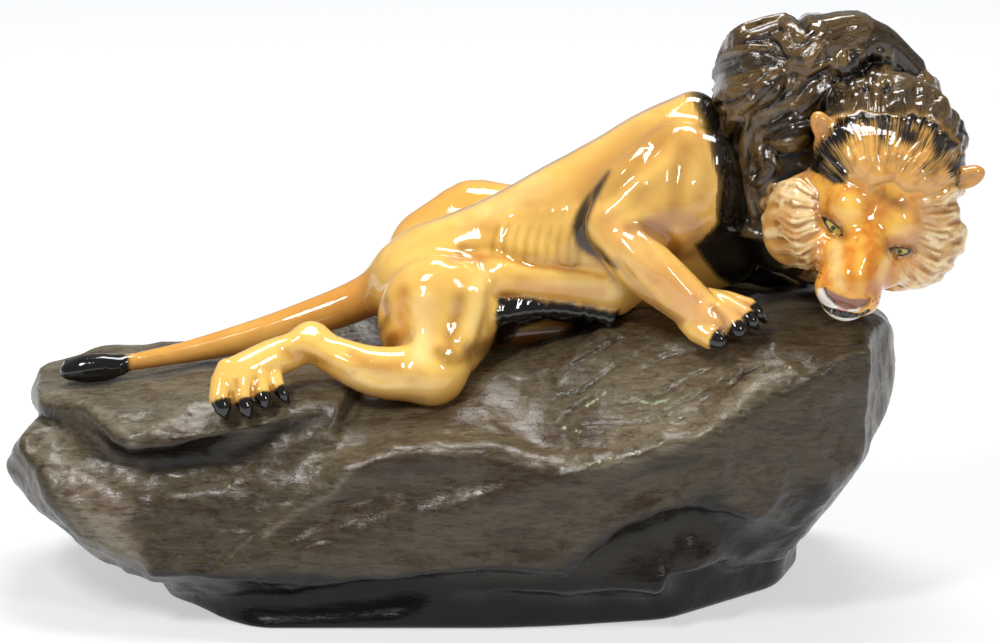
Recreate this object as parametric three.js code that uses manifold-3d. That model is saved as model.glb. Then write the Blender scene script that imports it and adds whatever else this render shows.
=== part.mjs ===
// A glazed porcelain lion lying on a rock, head turned to the side and bowed over the edge.
// Lion and rock are cast and fired together, so they are one solid.
// Millimetres, +Z up, +X towards the lion's head, -Y towards the side the lion shows.
// The origin is the middle of the rock's foot, on its underside.

import * as THREE from "three";
import Module from "manifold-3d";

// How finely each part of the clay is meshed, and how many triangles it keeps.
const LION_CELL = 2.4;
const LION_TRIANGLES = 7400;
const ROCK_CELL = 6;
const ROCK_TRIANGLES = 2000;

// The face and the mane keep smaller triangles than the body.
const FACE_WEIGHT = 14;
const MANE_WEIGHT = 4;

// The lion's measures. The head stands on its own axes: bowed, rolled and turned to the side.
const HEAD_AT = [156, -45, 171.8];
const HEAD_TURN = [-6, -18, -184];
const SPINE_SLOPE = [0, -24, 0];
const HIND_PAW = 1;
const FORE_PAW = 1.05;
const EYE_HALF_SPREAD = 15.6;
const BROW_HALF_SPREAD = 8.2;
const RIBS = 6;
const BROW_LOCKS = 11;
const ROLL_LOCKS = 10;
const FAR_ROWS = 4;
const FAR_LOCKS = 6;

const RAD = Math.PI / 180;

// The clay that the figure is pressed from.

/** A place to model in: lumps are given in its own axes and stand in the figure's axes. */
class Frame {
  /** turn is degrees about X, then Y, then Z. */
  constructor(origin = [0, 0, 0], turn = [0, 0, 0]) {
    const euler = new THREE.Euler(turn[0] * RAD, turn[1] * RAD, turn[2] * RAD, "ZYX");
    this.matrix = new THREE.Matrix4().makeRotationFromEuler(euler).setPosition(...origin);
  }

  point(p) {
    return new THREE.Vector3(...p).applyMatrix4(this.matrix);
  }

  /** An ellipsoid with its own radii and turn. */
  egg(centre, radii, turn = [0, 0, 0]) {
    const own = new Frame(centre, turn).matrix.premultiply(this.matrix);
    const m = own.clone().invert().elements;
    const [a, b, c] = radii;
    const far = Math.max(a, b, c);
    const box = new THREE.Box3().setFromCenterAndSize(
      this.point(centre), new THREE.Vector3(far, far, far).multiplyScalar(2));
    const distance = (x, y, z) => {
      const u = m[0] * x + m[4] * y + m[8] * z + m[12];
      const v = m[1] * x + m[5] * y + m[9] * z + m[13];
      const w = m[2] * x + m[6] * y + m[10] * z + m[14];
      const near = Math.hypot(u / a, v / b, w / c);
      const steep = Math.hypot(u / (a * a), v / (b * b), w / (c * c));
      return steep > 1e-9 ? near * (near - 1) / steep : -Math.min(a, b, c);
    };
    return { box, distance };
  }

  /** A round limb along a smooth curve through the points, with a radius at each. */
  limb(points, radii, steps = 4) {
    const curve = new THREE.CatmullRomCurve3(points.map((p) => this.point(p)), false, "centripetal");
    const last = points.length - 1;
    const count = last * steps;
    const spine = [];
    const box = new THREE.Box3();
    for (let i = 0; i <= count; i++) {
      const t = i / count * last;
      const k = Math.min(Math.floor(t), last - 1);
      const f = t - k;
      const radius = radii[k] + (radii[k + 1] - radii[k]) * f;
      const at = curve.getPoint(i / count);
      spine.push([at.x, at.y, at.z, radius]);
      box.expandByPoint(at.clone().addScalar(radius)).expandByPoint(at.clone().addScalar(-radius));
    }
    const distance = (x, y, z) => {
      let best = Infinity;
      for (let i = 0; i < spine.length - 1; i++) {
        const [ax, ay, az, ar] = spine[i];
        const [bx, by, bz, br] = spine[i + 1];
        const dx = bx - ax, dy = by - ay, dz = bz - az;
        const px = x - ax, py = y - ay, pz = z - az;
        const along = (px * dx + py * dy + pz * dz) / (dx * dx + dy * dy + dz * dz + 1e-9);
        const h = Math.min(1, Math.max(0, along));
        const d = Math.hypot(px - dx * h, py - dy * h, pz - dz * h) - ar - (br - ar) * h;
        if (d < best) best = d;
      }
      return best;
    };
    return { box, distance };
  }

  /** A block of stone inside a box, split by faces: each is [azimuth, elevation, a point on it]. */
  block(low, high, faces, round = 7) {
    const planes = faces.map(([azimuth, elevation, on]) => {
      const c = Math.cos(elevation * RAD);
      const n = [c * Math.cos(azimuth * RAD), c * Math.sin(azimuth * RAD), Math.sin(elevation * RAD)];
      return [...n, n[0] * on[0] + n[1] * on[1] + n[2] * on[2]];
    });
    for (const k of [0, 1, 2]) {
      const n = [0, 0, 0];
      n[k] = 1;
      planes.push([...n, high[k]]);
      n[k] = -1;
      planes.push([...n, -low[k]]);
    }
    const box = new THREE.Box3(new THREE.Vector3(...low), new THREE.Vector3(...high));
    const distance = (x, y, z) => {
      let most = -1e3;
      for (const [nx, ny, nz, away] of planes)
        most = -softMin(-most, -(nx * x + ny * y + nz * z - away), round);
      return most;
    };
    return { box, distance };
  }
}

/** The smaller of two distances, with the joint filleted over a width. */
function softMin(a, b, width) {
  const h = Math.max(width - Math.abs(a - b), 0) / width;
  return Math.min(a, b) - h * h * width / 4;
}

/** Lumps pressed together in order; each joins or cuts what is there with its own softness. */
class Clay {
  constructor() {
    this.lumps = [];
    this.box = new THREE.Box3();
  }

  add(lump, soft = 6) {
    this.lumps.push({ ...lump, soft, cut: false });
    this.box.union(lump.box);
    return this;
  }

  cut(lump, soft = 3) {
    this.lumps.push({ ...lump, soft, cut: true });
    return this;
  }

  /** A point moved straight in or out until it stands a height above the skin. */
  press(point, height) {
    const at = [...point];
    for (let round = 0; round < 8; round++) {
      const here = this.distance(...at);
      const slope = [0, 1, 2].map((k) => {
        const beside = [...at];
        beside[k] += 0.4;
        return (this.distance(...beside) - here) / 0.4;
      });
      const steep = Math.max(0.4, Math.hypot(...slope));
      const step = Math.max(-6, Math.min(6, (here - height) / steep));
      slope.forEach((s, k) => { at[k] -= step * s / steep; });
    }
    return at;
  }

  /** A lock of hair laid along the skin through the points, half sunk into it. */
  lock(frame, points, radii, soft = 2, sunk = 0.4) {
    const laid = points.map((p, i) => this.press(frame.point(p).toArray(), -sunk * radii[i]));
    return this.add(world.limb(laid, radii, 5), soft);
  }

  distance(x, y, z, lumps = this.lumps) {
    let d = 60;
    for (const lump of lumps) {
      const here = lump.distance(x, y, z);
      if (!lump.cut) d = softMin(d, here, lump.soft);
      else d = -softMin(-d, here, lump.soft);
    }
    return d;
  }
}

// The figure's own axes, in which the lion's skeleton and the boulders are given.
const world = new Frame();

const SIDES = [-1, 1];

function trunk(lion) {
  lion.add(world.egg([78, 2, 172], [40, 36, 39], SPINE_SLOPE), 10);
  lion.add(world.egg([48, 1, 160], [46, 31, 33], SPINE_SLOPE), 14);
  lion.add(world.limb([[44, 1, 160], [20, 3, 153], [-2, 5, 145], [-26, 6, 135]], [28, 24, 22, 23]), 12);
  lion.add(world.limb(
    [[84, 1, 210], [43, 1, 184], [9, 2, 168], [-20, 4, 151], [-44, 8, 137]], [9, 9, 9, 9, 8]), 12);
  lion.add(world.egg([-32, 7, 130], [24, 28, 21], SPINE_SLOPE), 12);
  lion.add(world.limb([[-22, 10, 117], [20, 10, 127], [60, 8, 140], [96, 8, 150]], [14, 17, 21, 20]), 10);
}

// Ribs show along the near flank.
function ribs(lion) {
  for (let i = 0; i < RIBS; i++) {
    const x = 2 + i * 8;
    const path = [[x + 8, -20, 172 + i * 2], [x + 3, -30, 159 + i], [x - 2, -32, 148]];
    lion.lock(world, path, [1.4, 2.4, 1.5], 3, 0.4);
  }
}

function belly(lion) {
  lion.add(world.limb([[2, -20, 140], [26, -22, 137], [48, -22, 133]], [9, 10, 10]), 6);
  lion.add(world.limb([[-4, -14, 122], [12, -16, 128], [28, -16, 125], [46, -14, 124]], [3, 5, 5, 4]), 3);
}

function tail(lion) {
  lion.add(world.limb(
    [[-44, 10, 136], [-58, 12, 125], [-88, 10, 113.5], [-115, 5, 106.5], [-141, 0, 101.5], [-168, -4, 97.5]],
    [11, 9.5, 8, 6.5, 4.6, 3.4]), 5);
  lion.add(world.limb(
    [[-165, -4, 98], [-176, -6, 97.5], [-186, -7, 96.5], [-194, -8, 95]], [3.6, 5.2, 5, 1.5]), 2);
}

/** A paw in its own frame: +Y forward, +Z up; the toes fan out and end in claws. */
function paw(lion, origin, turn, size, toes) {
  const foot = new Frame(origin, turn);
  lion.add(foot.egg([0, 0, 0], [10 * size, 12 * size, 8 * size]), 4);
  toes.forEach(([x, y, z, away, length, drop]) => {
    const a = away * RAD;
    const reach = (along, down) => [x + Math.sin(a) * along, y + Math.cos(a) * along, z - down];
    lion.add(foot.limb([reach(-8, -1), reach(0, 0), reach(4, 1.5)], [3.6 * size, 4.9 * size, 4.2 * size]), 1.6);
    lion.add(foot.limb(
      [reach(4, 1), reach(4 + length * 0.6, drop * 0.45), reach(4 + length, drop)],
      [3.4 * size, 3.2 * size, 1.1 * size]), 0.8);
  });
}

function nearHindLeg(lion) {
  lion.add(world.egg([-27, -22, 123], [26, 19, 30], [14, 6, 0]), 8);
  lion.add(world.limb([[-24, -34, 112], [-29, -44, 104]], [15, 12.5]), 8);
  lion.add(world.limb(
    [[-28, -44, 105], [-52, -46, 106], [-70, -43, 112], [-82, -40, 118]], [13, 11, 8.5, 6.5]), 5);
  lion.add(world.egg([-80, -38, 121], [6, 5, 6]), 4);
  lion.add(world.limb([[-82, -41, 117], [-97, -47, 112], [-110, -55, 107]], [7, 8.5, 9]), 4);
  paw(lion, [-113, -59, 103], [-64, 0, -6], HIND_PAW, [
    [-7, 6, 1, -14, 8, 4],
    [1, 8, 1, -4, 8, 4],
    [8, 5, 1, 8, 8, 4],
    [12, 1, 0, 40, 10, 5],
  ]);
}

function farHindLeg(lion) {
  lion.add(world.egg([-26, 30, 138], [26, 16, 22], [0, -26, 0]), 8);
  lion.add(world.limb([[-30, 32, 142], [-12, 38, 154], [2, 38, 156]], [17, 17, 13]), 6);
  lion.add(world.limb([[4, 38, 154], [2, 42, 136], [-4, 44, 118]], [12, 10, 7]), 5);
  lion.add(world.limb([[-4, 44, 116], [14, 36, 112], [24, 26, 112]], [7, 7, 7]), 4);
  lion.add(world.limb([[-8, 4, 106], [10, 0, 112], [26, -4, 114]], [8, 9, 7]), 4);
}

function nearForeleg(lion) {
  lion.add(world.egg([73, -22, 182], [20, 15, 28], [0, 22, 0]), 8);
  lion.add(world.egg([66, -30, 176], [27, 15, 22], [0, 12, 0]), 8);
  lion.add(world.limb([[58, -34, 172], [46, -37, 170]], [13, 9]), 6);
  lion.add(world.limb(
    [[48, -38, 166], [60, -48, 154], [72, -53, 145], [83, -56, 136]], [11.5, 12.5, 11, 9.5]), 5);
  paw(lion, [91, -59, 131], [-14, 0, -78], FORE_PAW, [
    [9, 5, -1, 16, 6, 4],
    [3, 12, 2, 4, 7, 6],
    [-4, 14, 2, -4, 7, 6],
    [-10, 11, 1, -12, 7, 5],
  ]);
}

function farForeleg(lion) {
  lion.add(world.egg([80, 28, 172], [24, 15, 26], [0, 15, 0]), 8);
  lion.add(world.limb([[70, 38, 160], [86, 42, 144], [112, 38, 134]], [13, 12, 9]), 5);
  paw(lion, [122, 34, 130], [-6, 0, -80], FORE_PAW, [
    [9, 6, 0, 12, 6, 4],
    [3, 12, 1, 4, 7, 5],
    [-4, 12, 1, -4, 7, 5],
    [-10, 8, 0, -12, 7, 5],
  ]);
}

// The head's own axes: +X to its right, +Y out of the face, +Z to the crown, from between the eyes.
const head = new Frame(HEAD_AT, HEAD_TURN);

function skull(lion) {
  lion.add(head.egg([0, -2, 12], [28, 24, 26]), 8);
  lion.add(head.egg([0, 7, -1], [25, 16, 20]), 6);
  lion.add(head.limb([[0, 10, -4], [0, 28, -11], [0, 36, -17]], [16, 14, 12.5]), 6);
  lion.add(head.limb([[0, 20, 6], [0, 30, -4], [0, 40, -14]], [7, 7.5, 7.5]), 4);
  lion.add(head.egg([0, 43.5, -19], [9, 5, 5], [-30, 0, 0]), 1.5);
  lion.add(head.egg([0, 33, -26], [9.5, 10.5, 6.5]), 3);
  for (const side of SIDES) {
    lion.add(head.egg([side * 7, 37, -22], [8, 9, 6.8]), 2);
    lion.add(head.egg([side * 18, 11, -8], [13, 14, 14]), 6);
    lion.add(head.egg([side * BROW_HALF_SPREAD, 19, 10.5], [9.2, 8.6, 9], [0, side * 24, 0]), 2);
    lion.cut(head.egg([side * EYE_HALF_SPREAD, 27.5, -0.8], [5.4, 3.2, 3], [0, side * 16, 0]), 3);
    lion.add(head.egg([side * EYE_HALF_SPREAD, 21, -0.4], [4.8, 4.8, 3.6], [0, side * 16, 0]), 0.8);
    lion.cut(head.egg([side * 5, 48, -20], [2, 2, 1.5]), 1);
  }
  lion.cut(head.limb(
    [[-11, 36, -25], [-6, 43, -25.5], [0, 45, -25], [6, 43, -25.5], [11, 36, -25]],
    [1, 1.4, 1.4, 1.4, 1]), 1);
}

function ears(lion) {
  for (const [side, x, z] of [[1, 32, 32], [-1, 32.5, 32]]) {
    lion.add(head.egg([side * x, -1, z], [6.5, 5.5, 8.5], [0, side * 42, 0]), 2.5);
    lion.cut(head.egg([side * (x + 1), 4.5, z], [3.6, 3, 5], [0, side * 42, 0]), 1.5);
  }
}

// The ruff on each cheek: long flat locks from the face outward and down.
function ruff(lion) {
  for (const [side, x, z, tips] of [
    [1, 28, -9, [[38, 17], [44, 8], [46, -2], [44, -12], [39, -21], [31, -29], [21, -33]]],
    [-1, 25, 3, [[36, 28], [41, 20], [42, 9], [38, -2], [31, -11], [21, -17]]],
  ]) {
    lion.add(head.egg([side * x, 0, z], [17, 13, 21]), 6);
    tips.forEach(([reach, end], i) => {
      const along = (t, forward) => [side * (14 + (reach - 15) * t), forward, z + 3 + (end - z - 3) * t];
      const wide = i % 2 ? 5.5 : 4.5;
      lion.lock(head, [along(0.2, 14), along(0.6, 11), along(1, 2)], [wide - 1, wide, 2.5], 1.5, 0.5);
    });
  }
}

// The forehead's hair fans up from the brow to a scalloped rim between the ears.
function foreheadHair(lion) {
  lion.add(head.egg([-1, -1, 27], [32, 19, 18]), 5);
  for (let i = 0; i < BROW_LOCKS; i++) {
    const a = (-66 + 132 * i / (BROW_LOCKS - 1)) * RAD;
    const out = (reach, forward) => [Math.sin(a) * reach * 1.04 - 1, forward, 13 + Math.cos(a) * reach];
    lion.add(head.limb([out(2, 17), out(14, 17), out(26, 10), out(34, 0)], [3, 5, 6, 4.5]), 1.6);
  }
}

// Two rolls of short locks lie over the head behind the forehead's rim.
const ROLLS = [
  { y: -13, radius: 6.5, rim: [[26, 34], [13, 44], [-3, 47.5], [-16, 44.5], [-25, 35.5], [-31, 24]] },
  { y: -25, radius: 8.5, rim: [[26, 40], [9, 52], [-5, 52.5], [-16, 45.5], [-23, 34], [-29, 20]] },
];

// Where the long locks part, above the rolls, and where their tips lie, seen from the near side.
const PARTING = [148, -27, 236];
const FAN_TIPS = [[106, -8, 236], [118, -2, 244], [135, 2, 247], [150, 2, 248], [166, 0, 244], [178, -4, 232]];
const NEAR_LOCKS = [
  [[147, 236], [125, 238], [103, 231], 8],
  [[146, 234], [125, 227], [97, 221], 7.5],
  [[143, 231], [123, 220], [99, 209], 8],
  [[140, 226], [121, 211], [102, 195], 7.5],
  [[127, 199], [113, 193], [104, 177], 6.5],
  [[125, 192], [112, 179], [107, 161], 6],
  [[117, 187], [111, 170], [109, 151], 6],
  [[115, 175], [114, 159], [119, 143], 6],
  [[100, 225], [96, 215], [99, 204], 5.5],
  [[132, 207], [124, 207], [117, 206], 8],
];

function mane(lion) {
  lion.add(world.egg([133, 6, 206], [38, 34, 42]), 8);
  lion.add(world.egg([110, 2, 222], [19, 27, 24]), 8);
  lion.add(world.egg([122, -4, 178], [22, 28, 38], [0, 4, 0]), 7);
  lion.add(world.egg([160, 0, 196], [34, 26, 40]), 8);
  lion.add(world.egg([142, 12, 160], [30, 28, 30]), 8);
  for (const { y, radius, rim } of ROLLS) {
    const arch = new THREE.CatmullRomCurve3(rim.map(([x, z]) => new THREE.Vector3(x, y, z)));
    for (let i = 0; i < ROLL_LOCKS; i++) {
      const p = arch.getPointAt((i + 0.5) / ROLL_LOCKS);
      const out = arch.getTangentAt((i + 0.5) / ROLL_LOCKS).cross(new THREE.Vector3(0, -1, 0));
      const at = (up, forward) => [p.x + out.x * up, y + forward, p.z + out.z * up];
      lion.add(head.limb([at(-8, 6), at(-1, 3), at(2, -4)], [radius - 2, radius, radius - 1.5]), 2);
    }
  }
  for (const tip of FAN_TIPS) {
    const middle = tip.map((t, k) => (t + PARTING[k]) / 2 + [0, -4, 6][k]);
    lion.lock(world, [PARTING, middle, tip], [6, 9.5, 8], 3, 0.3);
  }
  const nearSide = ([x, z]) => {
    const rim = ((x - 137) / 48) ** 2 + ((z - 203) / 55) ** 2;
    return [x, -34 * Math.sqrt(Math.max(0.05, 1 - rim)), z];
  };
  for (const [from, over, to, radius] of NEAR_LOCKS)
    lion.lock(world, [from, over, to].map(nearSide), [radius - 2, radius, radius - 3], 2);
  // Locks of the far side lie in rows round the same parting.
  for (let row = 0; row < FAR_ROWS; row++)
    for (let i = 0; i < FAR_LOCKS; i++) {
      const a = (-62 + i * 34 + (row % 2) * 17) * RAD;
      const on = (turn) => {
        const b = (26 + row * 27 + turn) * RAD;
        const outward = [Math.sin(a) * Math.sin(b), Math.cos(a) * Math.sin(b), Math.cos(b)];
        return [140 + 46 * outward[0], 6 + 34 * outward[1], 200 + 46 * outward[2]];
      };
      lion.lock(world, [on(0), on(14), on(30)], [5, 7.5, 3.5], 2);
    }
}

function rock() {
  const stone = new Clay();
  // The foot: a low oval plinth under the boulders.
  stone.add(world.block([-152, -76, -8], [139, 74, 40], [
    [-50, -6, [70, -68, 6]], [-125, -4, [-112, -62, 6]], [50, -6, [70, 62, 6]], [130, -4, [-84, 60, 6]],
    [-20, -8, [126, -16, 6]], [-80, -3, [30, -73, 6]], [-160, -6, [-146, -20, 6]]], 4), 3);
  // The long boulder under the lion: the scratched slope, and the front face below its ridge.
  stone.add(world.block([-118, -94, 18], [156, 82, 123], [
    [-115, 53.5, [42, -88, 79]], [-91, -5, [-10, -90, 80]], [-72, -4, [83, -91, 86]], [-94, -60, [0, -86, 29]],
    [-150, 42, [-71, -85, 67]], [-170, 10, [-104, -40, 50]], [-72, -36, [68, -90, 59]], [182, 72, [-9, -30, 101]],
    [92, 6, [0, 80, 60]], [95, 48, [0, 70, 95]], [96, -44, [0, 78, 34]], [170, 50, [-60, 20, 88]],
    [-20, -34, [146, -20, 40]], [60, 20, [120, 60, 90]], [62, -38, [120, 66, 40]], [110, -30, [20, 76, 40]],
    [115, 30, [-20, 72, 84]]], 3.5), 4);
  // The lower boulder on the left, which carries the hind leg.
  stone.add(world.block([-150, -84, 16], [70, 78, 110], [
    [-100, 68, [-40, -80, 80]], [-97, 14, [-90, -80, 60]], [-108, 26, [-110, -74, 60]], [-94, -62, [-100, -76, 22]],
    [-30, 64, [-2, -50, 92]], [88, 52, [-60, 66, 80]], [92, 6, [-60, 76, 50]], [90, -40, [-60, 70, 26]],
    [176, 80, [-60, 0, 92]]], 5), 10);
  // The bulge at the far left.
  stone.add(world.block([-218, -74, 14], [-60, 68, 80], [
    [172, 34, [-206, 0, 68]], [-146, -14, [-198, -46, 42]], [-104, 6, [-150, -74, 44]], [-98, 42, [-150, -68, 60]],
    [-172, -44, [-198, -10, 32]], [-96, -56, [-140, -66, 24]], [-140, -46, [-174, -48, 26]], [120, 4, [-190, 50, 44]],
    [90, 44, [-140, 58, 66]], [90, -48, [-140, 58, 26]], [150, -40, [-190, 30, 28]]], 5), 8);
  // The ledge on top of it, under the hind paw and the tail.
  stone.add(world.block([-213, -72, 68], [-40, 62, 100], [
    [-97, 22, [-120, -73, 80]], [-138, 14, [-172, -58, 82]], [-104, 70, [-160, -62, 86]], [-172, 16, [-204, 0, 86]],
    [-96, -34, [-140, -68, 76]], [-20, 24, [-58, -40, 88]], [176, 84, [-140, 0, 94]], [135, 10, [-196, 44, 86]],
    [90, 40, [-140, 58, 88]], [-160, -30, [-200, -10, 74]]], 2.5), 2);
  // A hump behind the root of the tail.
  stone.add(world.block([-112, 16, 50], [-6, 78, 114], [
    [150, 40, [-84, 50, 104]], [90, 52, [-60, 66, 104]], [-100, 52, [-60, 24, 106]], [165, 62, [-88, 34, 106]],
    [0, 60, [-14, 40, 104]], [90, 8, [-60, 76, 80]]], 4), 6);
  // The block under the lion's chin.
  stone.add(world.block([50, -80, 26], [173, 72, 127], [
    [-26, 2, [164, -34, 88]], [-60, 5, [136, -70, 90]], [-84, 58, [140, -56, 118]], [-96, 80, [140, -30, 125]],
    [-8, -42, [164, 0, 72]], [-44, -40, [140, -50, 54]], [30, 4, [162, 40, 90]], [60, 8, [130, 66, 80]],
    [30, -40, [154, 40, 66]], [10, 50, [168, 0, 119]], [-150, 20, [96, -70, 100]], [90, -46, [120, 60, 56]],
    [120, 30, [80, 64, 104]], [75, 50, [130, 60, 112]]], 4), 6);
  return stone;
}

function lion() {
  const clay = new Clay();
  trunk(clay);
  belly(clay);
  ribs(clay);
  tail(clay);
  farHindLeg(clay);
  nearHindLeg(clay);
  farForeleg(clay);
  nearForeleg(clay);
  mane(clay);
  ruff(clay);
  skull(clay);
  foreheadHair(clay);
  ears(clay);
  return clay;
}

// The meshing of the clay.

/** The clay's skin as a closed mesh, by marching tetrahedra over a grid of cubes. */
function skinOf(clay, cell) {
  const low = clay.box.min.clone().addScalar(-2 * cell);
  const size = clay.box.max.clone().addScalar(2 * cell).sub(low);
  const count = [size.x, size.y, size.z].map((s) => Math.ceil(s / cell) + 1);
  const [nx, ny, nz] = count;
  const values = new Float32Array(nx * ny * nz);
  const BLOCK = 6;
  const reach = 1.5 * cell;
  for (let bz = 0; bz < nz; bz += BLOCK)
    for (let by = 0; by < ny; by += BLOCK)
      for (let bx = 0; bx < nx; bx += BLOCK) {
        const tile = new THREE.Box3(
          new THREE.Vector3(bx, by, bz).multiplyScalar(cell).add(low),
          new THREE.Vector3(bx + BLOCK, by + BLOCK, bz + BLOCK).multiplyScalar(cell).add(low));
        const here = clay.lumps.filter((lump) =>
          lump.box.clone().expandByScalar(lump.soft + reach).intersectsBox(tile));
        for (let z = bz; z < Math.min(bz + BLOCK, nz); z++)
          for (let y = by; y < Math.min(by + BLOCK, ny); y++)
            for (let x = bx; x < Math.min(bx + BLOCK, nx); x++) {
              const d = clay.distance(low.x + x * cell, low.y + y * cell, low.z + z * cell, here);
              values[x + nx * (y + ny * z)] = d === 0 ? 1e-6 : d;
            }
      }
  // Six tetrahedra round each cube's long diagonal; corners are numbered x + 2y + 4z.
  const TETRAHEDRA = [[0, 1, 3, 7], [0, 3, 2, 7], [0, 2, 6, 7], [0, 6, 4, 7], [0, 4, 5, 7], [0, 5, 1, 7]];
  const step = (k) => (k & 1) + nx * ((k >> 1 & 1) + ny * (k >> 2 & 1));
  const positions = [];
  const triangles = [];
  const onEdge = new Map();
  const vertex = (a, b) => {
    const key = a < b ? a * values.length + b : b * values.length + a;
    if (!onEdge.has(key)) {
      const t = Math.min(0.96, Math.max(0.04, values[a] / (values[a] - values[b])));
      const place = (i) => [i % nx, Math.floor(i / nx) % ny, Math.floor(i / nx / ny)];
      const from = place(a), to = place(b);
      onEdge.set(key, positions.length / 3);
      positions.push(
        low.x + cell * (from[0] + (to[0] - from[0]) * t),
        low.y + cell * (from[1] + (to[1] - from[1]) * t),
        low.z + cell * (from[2] + (to[2] - from[2]) * t));
    }
    return onEdge.get(key);
  };
  for (let z = 0; z < nz - 1; z++)
    for (let y = 0; y < ny - 1; y++)
      for (let x = 0; x < nx - 1; x++) {
        const base = x + nx * (y + ny * z);
        for (const tetrahedron of TETRAHEDRA) {
          const corners = tetrahedron.map((k) => base + step(k));
          const inside = corners.filter((i) => values[i] < 0);
          const outside = corners.filter((i) => values[i] > 0);
          if (!inside.length || !outside.length) continue;
          const place = (i) => new THREE.Vector3(i % nx, Math.floor(i / nx) % ny, Math.floor(i / nx / ny));
          const outward = outside.reduce((s, i) => s.add(place(i).divideScalar(outside.length)), new THREE.Vector3())
            .sub(inside.reduce((s, i) => s.add(place(i).divideScalar(inside.length)), new THREE.Vector3()));
          const ring = inside.length === 2
            ? [vertex(inside[0], outside[0]), vertex(inside[0], outside[1]),
              vertex(inside[1], outside[1]), vertex(inside[1], outside[0])]
            : inside.length === 1 ? outside.map((o) => vertex(inside[0], o)) : inside.map((i) => vertex(i, outside[0]));
          const [p, q, r] = ring.map((i) => new THREE.Vector3().fromArray(positions, 3 * i));
          if (q.sub(p).cross(r.sub(p)).dot(outward) < 0) ring.reverse();
          for (let k = 2; k < ring.length; k++) triangles.push(ring[0], ring[k - 1], ring[k]);
        }
      }
  return { positions, triangles };
}

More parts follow.
